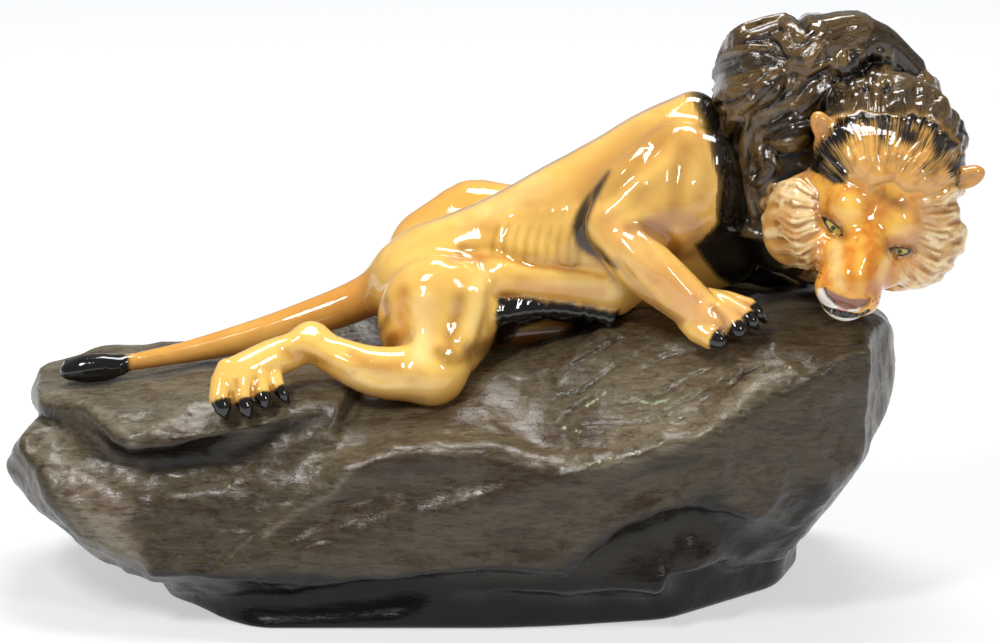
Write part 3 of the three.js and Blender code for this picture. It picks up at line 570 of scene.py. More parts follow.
# Where the eyes' pupils, the nose and the mouth show in the photograph.
PUPILS = {1: (833, 227.7), -1: (900, 251.5)}
NOSE = (848, 299.5)
NOSTRILS = (((824.5, 288), (827.5, 295), (834, 302)), ((870, 298), (866.5, 303), (861, 306)))
MOUTH = ((818.4, 301), (826.8, 309), (836, 312), (845.7, 313.6), (857, 314.5), (867, 310))
LIP_CLEFT = ((848, 307.5), (848, 312))


def skull(clay):
    """The cranium, the muzzle's bridge, the chin, the lips, the cheeks and the brows."""
    clay.name = "face"
    clay.add(head.egg((0, -2, 12), (28, 24, 26)), soft=8)
    clay.add(head.egg((0, 6, -2), (26, 16, 21)), soft=6)
    clay.add(head.limb([(0, 11, -4), (0.3, 26, -11), (0.8, 34, -16.5)], (17, 15, 11.5)), soft=6)
    clay.add(head.limb([(0, 19, 5), (0.2, 30, -4), (0.8, 39.5, -13)], (7, 8, 8)), soft=5)
    clay.add(head.egg((0.8, 33.5, -27), (9, 10, 6.5)), soft=3)
    for side in SIDES:
        clay.add(head.egg((0.8 + side * 6.6, 35.5, -20.5), (7.4, 9.5, 7.8)), soft=3)
        clay.add(head.egg((side * 18, 8, -8), (13, 13, 15)), soft=8)
        clay.add(head.egg(
            (side * BROW_HALF_SPREAD, 17.6, 9.4), (10.2, 9.8, 9.4), (0, side * 20, 0)), soft=4.5)
        clay.add(head.egg((side * 13.5, 23.5, -10), (6.5, 6, 7), (0, side * 20, 0)), soft=5)


EYELID = ((-5, -0.9, 0.6), (-2, 0.5, 2.4), (2, 0.4, 2.5), (5.4, -0.9, 1.2))


def eyes(clay):
    """Shallow almond sockets under the brow, each with its ball and a fold of lid."""
    for side in SIDES:
        eye = Frame(seen_at(clay, [PUPILS[side]])[0])
        eye.axes = head.axes @ turned((0, -side * EYE_SLANT, 0))
        clay.cut(eye.egg((0, 1.5, 0), (5.6, 2.7, 2.9)), soft=2)
        clay.add(eye.egg((0, -3.7, 0), (5.2, 4.1, 4.2)), soft=0.6)
        clay.add(eye.limb(EYELID, (0.4, 0.8, 0.8, 0.4)), soft=1)


def muzzle(clay):
    """The pad of the nose with its nostrils, the slit of the mouth, and the cleft of the upper lip."""
    nose = Frame(seen_at(clay, [NOSE])[0])
    nose.axes = head.axes
    clay.add(nose.egg((0, -2.2, 1.2), (10, 3.6, 4.4), (-34, 0, 0)), soft=1.2)
    for slit in NOSTRILS:
        groove(clay, seen_at(clay, slit), 0.9, 1.0, soft=0.6)
    clay.name = "mouth"
    groove(clay, seen_at(clay, MOUTH), 1.5, 1.9, soft=0.7)
    clay.name = "face"
    groove(clay, seen_at(clay, LIP_CLEFT), 0.7, 0.7, soft=0.5)


def ears(clay):
    """A small round ear at each end of the forehead's rim."""
    clay.name = "ear"
    for side, x, z in ((1, 30.6, 32), (-1, 34, 31.5)):
        clay.add(head.egg((side * x, -2, z), (4.6, 4.2, 7.4), (0, side * 46, 0)), soft=2)
        clay.cut(head.egg((side * (x + 0.5), 3, z - 0.5), (3.2, 3.2, 5.4), (0, side * 46, 0)), soft=1)


# The ruff's locks as they show on each cheek, from the face outward, each after its radius.
RUFF_LOCKS = (
    (4.6, (812, 196), (797, 188), (784, 187), (772, 190)),
    (4.8, (812, 207), (794, 204), (780, 198), (765, 204)),
    (5.0, (814, 219), (796, 221), (780, 214), (763, 218)),
    (5.0, (815, 231), (799, 236), (785, 231), (768, 234)),
    (4.8, (817, 243), (804, 249), (791, 247), (777, 250)),
    (4.4, (818, 256), (808, 263), (798, 263), (788, 266)),
    (4.0, (819, 268), (811, 275), (803, 276)),
    (4.6, (925, 203), (938, 199), (950, 192), (961, 192)),
    (5.2, (922, 216), (938, 217), (955, 212), (970, 208)),
    (5.4, (920, 230), (938, 235), (955, 230), (972, 230)),
    (5.4, (918, 244), (936, 252), (953, 249), (969, 252)),
    (5.2, (914, 256), (930, 266), (944, 266), (957, 271)),
    (5.0, (908, 266), (920, 277), (932, 279), (942, 281)),
    (4.4, (900, 275), (908, 283), (917, 286)),
)
RUFF_CURL = ((966, 226), (973, 228), (976, 237), (974, 246), (967, 250))


def ruff(clay):
    """The ruff on each cheek: a soft collar with long flat locks from the face outward and down."""
    clay.name = "ruff"
    clay.add(head.egg((26, 0, -9), (15.5, 11, 21)), soft=7)
    clay.add(head.egg((-25, 0, -1), (16.5, 11, 22)), soft=7)
    for radius, *seen in RUFF_LOCKS:
        seen_lock(clay, seen, radius, soft=1.8, sunk=0.42, strands=3, depth=0.1)
    clay.lock(world, seen_at(clay, RUFF_CURL), np.full(len(RUFF_CURL), 2.2), soft=1.5, sunk=0.5)


# The forehead's hair: where it fans out from in the photograph, and the ends of its tufts.
FAN_ROOT = (885, 196)
FAN_ENDS = (
    (817, 168), (822, 154), (832, 142), (841, 131), (852, 121), (862, 118), (874, 119), (886, 117),
    (899, 117), (912, 116), (924, 118), (936, 124), (946, 134), (955, 146), (964, 156), (972, 166))


def forehead_hair(clay, rng):
    """The forehead's hair fans up from the brow in flat tufts to a ragged rim between the ears."""
    clay.name = "forehead"
    clay.add(head.egg((0, -2, 26), (32, 19, 18)), soft=6)
    root = np.array(FAN_ROOT, float)
    for end in FAN_ENDS:
        end = np.array(end) + rng.normal(0, 1.2, 2)
        path = [root + (end - root) * t for t in (0.28, 0.5, 0.75, 1.0)]
        radius, sunk = rng.uniform(3.4, 5.2), rng.uniform(0.6, 0.85)
        seen_lock(clay, path, radius, soft=2.5, sunk=sunk, strands=3, depth=0.1)


# Two rolls of short locks lie over the head behind the forehead's rim. Each is a bar with its place along
# the head's Y, its radius and its middle line across the head.
ROLLS = (
    (-12, 6.0, ((26, 34), (13, 43), (-3, 46.5), (-16, 43.5), (-25, 34.5), (-31, 23))),
    (-24, 8.0, ((26, 40), (9, 51), (-5, 51.5), (-16, 44.5), (-23, 33), (-29, 19))),
)
# The upper and the lower rim of each roll, as they show in the photograph.
ROLL_RIMS = (
    (((833, 104), (856, 95), (880, 94), (905, 92), (925, 96), (941, 105), (953, 117), (963, 132),
      (970, 146)),
     ((840, 126), (862, 118), (882, 117), (903, 117), (922, 118), (936, 124), (948, 136), (957, 147),
      (965, 157))),
    (((838, 66), (858, 61), (880, 60), (902, 62), (922, 68), (940, 76), (952, 94)),
     ((834, 86), (856, 83), (878, 86), (902, 89), (922, 93), (938, 100), (948, 114))),
)
ROLL_LOCKS = 11
# A lock that would reach further into the depth than this falls past the outline and is left out.
ROLL_DEPTH = 24


def flat_curve(path):
    """A smooth curve through pixels of the photograph."""
    return smooth_curve([(*p, 0) for p in path], 8)[:, :2]


def rolls(clay, rng):
    """The bars of the rolls, with short locks that fall over each from its upper to its lower rim."""
    clay.name = "mane"
    for y, radius, rim in ROLLS:
        clay.add(head.limb([(x, y, z) for x, z in rim], [radius * 0.9] * len(rim)), soft=3)
    for upper, lower in ROLL_RIMS:
        top, low = flat_curve(upper), flat_curve(lower)
        for i in range(ROLL_LOCKS):
            at = (i + 0.5 + rng.uniform(-0.3, 0.3)) / ROLL_LOCKS
            start = top[int(at * (len(top) - 1))]
            end = low[int(np.clip(at + rng.uniform(-0.03, 0.03), 0, 1) * (len(low) - 1))]
            fall = end - start
            sway = rng.normal(0, 1.6, 2)
            path = [start - fall * 0.3, start + fall * 0.25 + sway, start + fall * 0.65 - sway,
                    end + rng.normal(0, 1.5, 2)]
            radius, sunk = rng.uniform(3.4, 6.0), rng.uniform(0.3, 0.6)
            if np.ptp(seen_at(clay, path)[:, 1]) < ROLL_DEPTH:
                seen_lock(clay, path, radius, soft=1.4, sunk=sunk, strands=2, depth=0.09)


# Where the long locks part, above the rolls, and where their tips lie, seen from the near side.
PARTING = (148, -27, 236)
FAN_TIPS = (
    (106, -8, 236), (118, -2, 244), (135, 2, 247), (150, 2, 248), (166, 0, 244), (178, -4, 232))


def mane(clay):
    """The mane's main masses, and the broad locks over its top."""
    clay.name = "mane"
    clay.add(world.egg((133, 6, 206), (38, 34, 42)), soft=8)
    clay.add(world.egg((111, 2, 219), (17, 26, 22)), soft=8)
    clay.add(world.egg((122, -4, 178), (22, 28, 38), (0, 4, 0)), soft=7)
    clay.add(world.egg((160, 0, 196), (34, 26, 40)), soft=8)
    clay.add(world.egg((142, 12, 160), (30, 28, 30)), soft=8)
    for tip in FAN_TIPS:
        middle = (np.array(tip) + PARTING) / 2 + (0, -4, 6)
        clay.lock(world, [PARTING, middle, tip], (2.5, 9.5, 8), soft=2.4, sunk=0.35, strands=4, depth=0.04)


# Locks of the near side, as they show in the photograph, each after its radius.
NEAR_LOCKS = (
    (8.0, (789, 23), (770, 32), (747, 40), (724, 50), (709, 67)),
    (6.5, (774, 55), (753, 57), (728, 63), (709, 78)),
    (5.5, (778, 69), (759, 72), (734, 78), (713, 90)),
    (5.5, (799, 72), (780, 78), (759, 84), (738, 90), (717, 101), (714, 114)),
    (6.0, (820, 48), (808, 61), (790, 62), (778, 61)),
    (4.0, (785, 22), (791, 27), (798, 38), (804, 44)),
    (4.0, (774, 38), (783, 42), (791, 50), (808, 57)),
    (5.0, (835, 65), (818, 74), (804, 84), (789, 99), (774, 107), (753, 118)),
    (4.5, (837, 76), (825, 84), (810, 95), (795, 105), (778, 112)),
    (4.5, (829, 84), (816, 95), (808, 107), (789, 118), (770, 122)),
    (5.0, (780, 78), (770, 88), (757, 99), (740, 107), (728, 118)),
    (5.0, (753, 101), (738, 112), (730, 126), (729, 143)),
    (7.0, (810, 126), (795, 129), (778, 135), (766, 137)),
    (4.0, (808, 139), (793, 143), (776, 145), (768, 143)),
    (5.0, (732, 118), (729, 143), (732, 168), (738, 194), (747, 221)),
    (5.0, (747, 118), (743, 143), (744, 168), (749, 194), (755, 213)),
    (4.0, (759, 130), (755, 151), (757, 168)),
    (4.0, (766, 147), (768, 160), (774, 168), (764, 181)),
    (5.0, (734, 210), (743, 227), (762, 234), (778, 242)),
    (4.0, (715, 118), (719, 139), (725, 168), (730, 196), (734, 210)),
    (3.0, (820, 105), (833, 101), (846, 99), (858, 105)),
)
# Curls as they show: the middle's two pixel numbers, the half width, the half height and the radius.
CURLS = ((757, 172, 7, 11, 2.2), (739, 91, 10, 5, 1.8), (722, 104, 7, 6, 1.8), (752, 64, 8, 6, 1.6))
# Each main lock has finer ones on it: how far aside they lie, in the main lock's radii.
FINE_LOCKS = (-0.62, 0.02, 0.6)
# About how many millimetres a pixel is wide at the figure.
PIXEL_WIDTH = 0.44


def near_side_hair(clay, rng):
    """The main locks of the near side with finer ones along them, and the small curls."""
    clay.name = "mane"
    for radius, *seen in NEAR_LOCKS:
        seen_lock(clay, seen, radius, soft=1.2, sunk=0.3, strands=3, depth=0.07)
        path = np.array(seen, float)
        across = unit(np.diff(path, axis=0).mean(0) @ np.array(((0, 1), (-1, 0))))
        for aside in FINE_LOCKS:
            wave = np.sin(np.linspace(0, 5, len(path)) + rng.uniform(0, 6)) * rng.uniform(0.4, 1.2)
            beside = path + np.outer(aside * radius / PIXEL_WIDTH + wave, across) + rng.normal(0, 0.5, 2)
            fine = radius * rng.uniform(0.3, 0.42)
            seen_lock(clay, beside, fine, soft=1.0, sunk=0.2, strands=2, depth=0.08)
    for x, y, wide, high, radius in CURLS:
        turns = np.linspace(0.3, 5.6, 8)
        ring = np.stack([x + wide * np.cos(turns), y + high * np.sin(turns)], 1)
        clay.lock(world, seen_at(clay, ring), np.full(8, radius), soft=0.8, sunk=0.2)


# The far side's hair lies on two balls, each with its middle and its radii.
UPPER_BALL = ((140, 6, 200), (46, 34, 46))
LOWER_BALL = ((142, 12, 160), (30, 28, 30))
FAR_ROWS = 5
FAR_LOCKS = 8
UNDER_LOCKS = 9
# The points of each lock: how far down the ball each lies, in degrees, and how far aside, in radians.
FAR_BENDS = ((0, 0), (10, 0.1), (20, -0.06), (31, 0.04))
UNDER_FALLS = (40, 66, 92, 118, 140)


def on_ball(ball, turn, fall):
    """The point of a ball at a turn round it from its far side, and an angle down from its top."""
    centre, radii = ball
    outward = (math.sin(turn) * math.sin(fall), math.cos(turn) * math.sin(fall), math.cos(fall))
    return np.array(centre) + np.array(radii) * outward


def far_side_hair(clay):
    """Rows of locks round the mane's far side, and one row of long locks under them."""
    for row in range(FAR_ROWS):
        for i in range(FAR_LOCKS):
            turn = math.radians(-64 + i * 26 + (row % 2) * 13)
            path = []
            for down, sway in FAR_BENDS:
                path.append(on_ball(UPPER_BALL, turn + sway, math.radians(24 + row * 23 + down)))
            clay.lock(world, path, (4, 6, 5.5, 2.4), soft=1.8, sunk=0.4, strands=3, depth=0.09)
    for i in range(UNDER_LOCKS):
        turn = math.radians(-50 + i * 24)
        path = []
        for down in UNDER_FALLS:
            sway = 0.1 * math.sin(down / 9 + i)
            path.append(on_ball(LOWER_BALL, turn + sway, math.radians(down)))
        clay.lock(world, path, (4, 6.5, 7, 6, 2.6), soft=1.8, sunk=0.4, strands=3, depth=0.1)


# The boulders: each is a box (low corner, high corner), its faces, its rounding, and its softness.
BOULDERS = (
    # The foot: a low oval plinth under the boulders.
    ((-152, -76, 0), (139, 74, 40), (
        (-50, -6, (70, -68, 6)), (-125, -4, (-122, -64, 6)), (50, -6, (70, 62, 6)),
        (130, -4, (-84, 60, 6)), (-20, -8, (126, -16, 6)), (-80, -3, (30, -73, 6)),
        (-160, -6, (-151, -20, 6))), 4, 3),
    # The long boulder under the lion: the scratched slope, and the front face below its ridge.
    ((-118, -94, 18), (156, 82, 123), (
        (-115, 53.5, (42, -88, 79)), (-91, -5, (-10, -90, 80)), (-72, -4, (83, -91, 86)),
        (-94, -60, (0, -86, 29)), (-150, 42, (-71, -85, 67)), (-170, 10, (-104, -40, 50)),
        (-72, -36, (68, -90, 59)), (182, 72, (-9, -30, 101)), (92, 6, (0, 80, 60)),
        (95, 48, (0, 70, 95)), (96, -44, (0, 78, 34)), (170, 50, (-60, 20, 88)),
        (-20, -34, (146, -20, 40)), (60, 20, (120, 60, 90)), (62, -38, (120, 66, 40)),
        (110, -30, (20, 76, 40)), (115, 30, (-20, 72, 84))), 3.5, 4),
    # The lower boulder on the left, which carries the hind leg.
    ((-150, -84, 16), (70, 78, 110), (
        (-100, 68, (-40, -80, 80)), (-97, 14, (-90, -80, 60)), (-108, 26, (-110, -74, 60)),
        (-94, -62, (-100, -76, 22)), (-30, 64, (-2, -50, 92)), (88, 52, (-60, 66, 80)),
        (92, 6, (-60, 76, 50)), (90, -40, (-60, 70, 26)), (176, 80, (-60, 0, 92))), 5, 10),
    # The bulge at the far left.
    ((-218, -74, 14), (-60, 68, 80), (
        (172, 34, (-206, 0, 68)), (-146, -14, (-198, -46, 42)), (-104, 6, (-150, -74, 44)),
        (-98, 42, (-150, -68, 60)), (-172, -44, (-198, -10, 32)), (-96, -56, (-140, -66, 24)),
        (-140, -46, (-174, -48, 26)), (120, 4, (-190, 50, 44)), (90, 44, (-140, 58, 66)),
        (90, -48, (-140, 58, 26)), (150, -40, (-190, 30, 28))), 5, 8),
    # The ledge on top of it, under the hind paw and the tail.
    ((-213, -72, 68), (-40, 62, 100), (
        (-97, 22, (-120, -73, 80)), (-138, 14, (-172, -58, 82)), (-104, 70, (-160, -62, 86)),
        (-172, 16, (-204, 0, 86)), (-96, -34, (-140, -68, 76)), (-20, 24, (-58, -40, 88)),
        (176, 84, (-140, 0, 94)), (135, 10, (-196, 44, 86)), (90, 40, (-140, 58, 88)),
        (-160, -30, (-200, -10, 74))), 2.5, 2),
    # A hump behind the root of the tail.
    ((-112, 16, 50), (-6, 78, 114), (
        (150, 40, (-84, 50, 104)), (90, 52, (-60, 66, 104)), (-100, 52, (-60, 24, 106)),
        (165, 62, (-88, 34, 106)), (0, 60, (-14, 40, 104)), (90, 8, (-60, 76, 80))), 4, 6),
    # The block under the lion's chin.
    ((50, -80, 26), (173, 72, 127), (
        (-26, 2, (164, -34, 88)), (-60, 5, (136, -70, 90)), (-84, 58, (140, -56, 118)),
        (-96, 80, (140, -30, 125)), (-8, -42, (164, 0, 72)), (-44, -40, (140, -50, 54)),
        (30, 4, (162, 40, 90)), (60, 8, (130, 66, 80)), (30, -40, (154, 40, 66)),
        (10, 50, (168, 0, 119)), (-150, 20, (96, -70, 100)), (90, -46, (120, 60, 56)),
        (120, 30, (80, 64, 104)), (75, 50, (130, 60, 112))), 4, 6),
)

# Scratches down the slope under the foreleg, and other cracks, as they show in the photograph.
SCRATCHES = (
    ((557, 397), (575, 392), (600, 378), (637, 355)), ((619, 405), (660, 393), (700, 376), (734, 357)),
    ((649, 422), (690, 400), (726, 380)), ((560, 372), (590, 356), (618, 340)),
    ((585, 426), (640, 424), (690, 412)), ((640, 372), (668, 356), (700, 350)),
    ((560, 420), (572, 408), (590, 398)), ((700, 404), (736, 384), (760, 366)),
)
# Edges that stand proud of the boulders, as they show: radius, how much of it is sunk, softness, path.
RIDGES = (
    (6, 0.72, 6, ((265, 535), (306, 506), (331, 493), (345, 476), (360, 461), (392, 452), (440, 450),
                  (500, 458), (560, 466), (610, 465), (651, 455), (694, 438), (737, 406), (763, 383),
                  (792, 375))),
    (6, 0.75, 6, ((45, 470), (60, 500), (80, 531), (99, 563))),
    (5, 0.7, 5, ((32, 389), (54, 393), (76, 398), (104, 413), (121, 428), (132, 443))),
    (5, 0.75, 5, ((132, 443), (160, 428), (188, 410), (212, 404))),
    (5, 0.72, 5, ((792, 375), (806, 420), (820, 472), (819, 500), (794, 521))),
    (4, 0.7, 4, ((125, 582), (204, 588), (239, 589), (287, 586), (319, 582), (399, 574), (446, 564),
                 (500, 559), (563, 562), (593, 536), (622, 519), (665, 505), (708, 503), (760, 512),
                 (784, 522))),
    (4, 0.75, 6, ((560, 568), (578, 540), (588, 505), (600, 470))),
    (5, 0.8, 6, ((735, 425), (722, 450), (716, 480), (708, 503))),
    (5, 0.75, 5, ((560, 375), (590, 348), (622, 322), (650, 306))),
)
# Hollows worn into the boulders, as they show: radius, depth, softness, path.
HOLLOWS = (
    (10, 6.5, 4, ((116, 458), (150, 462), (190, 460), (238, 449), (270, 436), (300, 424), (322, 414))),
    (11, 4.0, 6, ((34, 446), (60, 438), (85, 440), (110, 452))),
    (11, 6.0, 3, ((172, 602), (240, 606), (320, 600), (400, 591), (450, 582), (520, 578), (566, 582))),
    (16, 6.0, 5, ((600, 566), (640, 548), (700, 538), (750, 542))),
    (14, 2.5, 8, ((286, 470), (316, 452), (350, 440), (400, 432))),
    (10, 1.6, 6, ((152, 482), (146, 520), (168, 556))),
    (7, 2.0, 4, ((384, 474), (396, 482), (408, 488))),
    (6, 1.6, 4, ((400, 490), (404, 520), (398, 545))),
    (12, 2.0, 7, ((640, 490), (660, 472), (700, 462))),
    (9, 2.2, 6, ((800, 430), (800, 465), (790, 500))),
    (8, 1.8, 5, ((846, 400), (862, 430), (850, 470))),
    (1.6, 1.3, 1, ((187, 568), (212, 567), (230, 552), (244, 541), (262, 528))),
    (2.2, 1.3, 2, ((160, 390), (172, 398), (178, 408))),
    (5, 1.6, 4, ((120, 392), (140, 402), (158, 398))),
    (2.0, 1.2, 1, ((300, 548), (320, 540), (350, 538))),
    (1.4, 1.0, 1, ((330, 505), (352, 502), (372, 496))),
    (1.6, 1.2, 1, ((790, 330), (830, 344), (858, 342))),
)


# Hollows broader than this are worn before the ridges are laid on, and the rest after meshing.
BROAD = 8
# How many of the ridges, from the first, have a pale crest: thin rubbed glaze, with a painted highlight
# along it.
PALE_RIDGES = 4


def boulders(clay):
    """The blocks of the rock, with the broad hollows worn into them and the ridges laid on."""
    for low, high, faces, rounding, soft in BOULDERS:
        clay.add(Block(low, high, faces, rounding), soft)
    for radius, depth, soft, seen in HOLLOWS:
        if radius > BROAD:
            groove(clay, seen_at(clay, seen), radius, depth, soft)
    for radius, sunk, soft, seen in RIDGES:
        laid = clay.press(seen_at(clay, seen), np.full(len(seen), -sunk * radius))
        ends = np.sin(np.linspace(0.4, math.pi - 0.4, len(seen))) ** 0.5
        clay.add(Limb(laid, radius * ends, FINE_STEPS), soft)


def scratches(clay):
    """The scratches and the small hollows, cut after the rough skin is made."""
    for seen in SCRATCHES:
        groove(clay, seen_at(clay, seen), 1.3, 1.1, soft=0.8)
    for radius, depth, soft, seen in HOLLOWS:
        if radius <= BROAD:
            groove(clay, seen_at(clay, seen), radius, depth, soft)


# Meshing: the lumps are made as rough shapes, joined into one skin, and settled onto the clay.

def rough_skin(clay, voxel):
    """One closed skin of quads round all the lumps that aren't cuts."""
    solid = [lump for lump, cut in zip(clay.lumps, clay.cuts) if not cut]
    bm = bmesh.new()
    for lump in solid:
        if not isinstance(lump, Limb):
            lump.place_in(bm)
    tubes = bpy.data.curves.new("limbs", "CURVE")
    tubes.dimensions = "3D"
    tubes.bevel_depth = 1
    tubes.bevel_resolution = 2
    tubes.use_fill_caps = True
    for limb in [lump for lump in solid if isinstance(lump, Limb)]:
        outline = limb.outline()
        spline = tubes.splines.new("POLY")
        spline.points.add(len(outline) - 1)
        spline.points.foreach_set("co", np.array([(*point, 1) for point, _ in outline]).ravel())
        spline.points.foreach_set("radius", [radius for _, radius in outline])
    limbs = bpy.data.objects.new("limbs", tubes)
    bm.from_mesh(limbs.to_mesh())
    limbs.to_mesh_clear()
    bpy.data.objects.remove(limbs)
    lumps = bpy.data.meshes.new("lumps")
    bm.to_mesh(lumps)
    bm.free()
    shape = bpy.data.objects.new("lumps", lumps)
    bpy.context.collection.objects.link(shape)
    join = shape.modifiers.new("join", "REMESH")
    join.mode = "VOXEL"
    join.voxel_size = voxel
    joined = shape.evaluated_get(bpy.context.evaluated_depsgraph_get())
    mesh = bpy.data.meshes.new_from_object(joined)
    bpy.data.objects.remove(shape)
    bpy.data.meshes.remove(lumps)
    if not mesh.polygons:
        raise RuntimeError("the lumps did not join into a skin")
    return mesh


def places(mesh):
    """Every vertex's place."""
    co = np.empty(len(mesh.vertices) * 3)
    mesh.vertices.foreach_get("co", co)
    return co.reshape(-1, 3)


def edges_of(mesh):
    """Every edge's two vertices."""
    pairs = np.empty(len(mesh.edges) * 2, np.int32)
    mesh.edges.foreach_get("vertices", pairs)
    return pairs.reshape(-1, 2)


def neighbours_mean(values, edges):
    """At each vertex, the mean of the values at the vertices it shares an edge with."""
    a, b = edges.T
    count = np.bincount(a, minlength=len(values)) + np.bincount(b, minlength=len(values))
    total = [np.bincount(a, column[b], len(values)) + np.bincount(b, column[a], len(values))
             for column in values.T]
    return np.stack(total, 1) / np.maximum(count, 1)[:, None]


def settle(mesh, clay, rounds):
    """Vertices drawn onto the clay's skin, evened out along it; the outward way at each is returned."""
    at, edges = places(mesh), edges_of(mesh)
    for i in range(rounds):
        here = clay.distance(at)
        slope = clay.slope(at, here)
        steep = np.maximum(GENTLEST, np.linalg.norm(slope, axis=1))
        outward = slope / steep[:, None]
        at -= np.clip(here / steep, -1.5, 1.5)[:, None] * outward
        if i < rounds - 1:
            drift = neighbours_mean(at, edges) - at
            at += 0.5 * (drift - (drift * outward).sum(1)[:, None] * outward)
    mesh.vertices.foreach_set("co", at.ravel())
    mesh.update()
    return unit(outward)


def refine(mesh, chosen):
    """Each edge between chosen vertices is halved, and its faces are split to match."""
    bm = bmesh.new()
    bm.from_mesh(mesh)
    bm.verts.ensure_lookup_table()
    edges = [e for e in bm.edges if chosen[e.verts[0].index] and chosen[e.verts[1].index]]
    bmesh.ops.subdivide_edges(bm, edges=edges, cuts=1, use_grid_fill=True)
    bmesh.ops.triangulate(bm, faces=[f for f in bm.faces if len(f.verts) > 4])
    bm.to_mesh(mesh)
    bm.free()


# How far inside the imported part's box a piece stays, in millimetres.
INSET = 0.05


def finish_piece(mesh, name):
    """The settled skin as a piece of the figure, in metres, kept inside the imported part's box."""
    low, high = np.array(CAD_BOX) / MM
    mesh.vertices.foreach_set("co", np.clip(places(mesh), low + INSET, high - INSET).ravel())
    mesh.transform(Matrix.Scale(MM, 4))
    mesh.shade_smooth()
    piece = bpy.data.objects.new(name, mesh)
    bpy.context.collection.objects.link(piece)
    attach(piece, "root")
    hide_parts("lion_on_rock")
    return piece


# Painting: colours under the glaze, laid on the skin's vertices.

def rgb(code):
    """A colour code such as e2a43e as linear red, green and blue."""
    c = np.array([int(code[i:i + 2], 16) / 255 for i in (0, 2, 4)])
    return np.where(c <= 0.04045, c / 12.92, ((c + 0.055) / 1.055) ** 2.4)


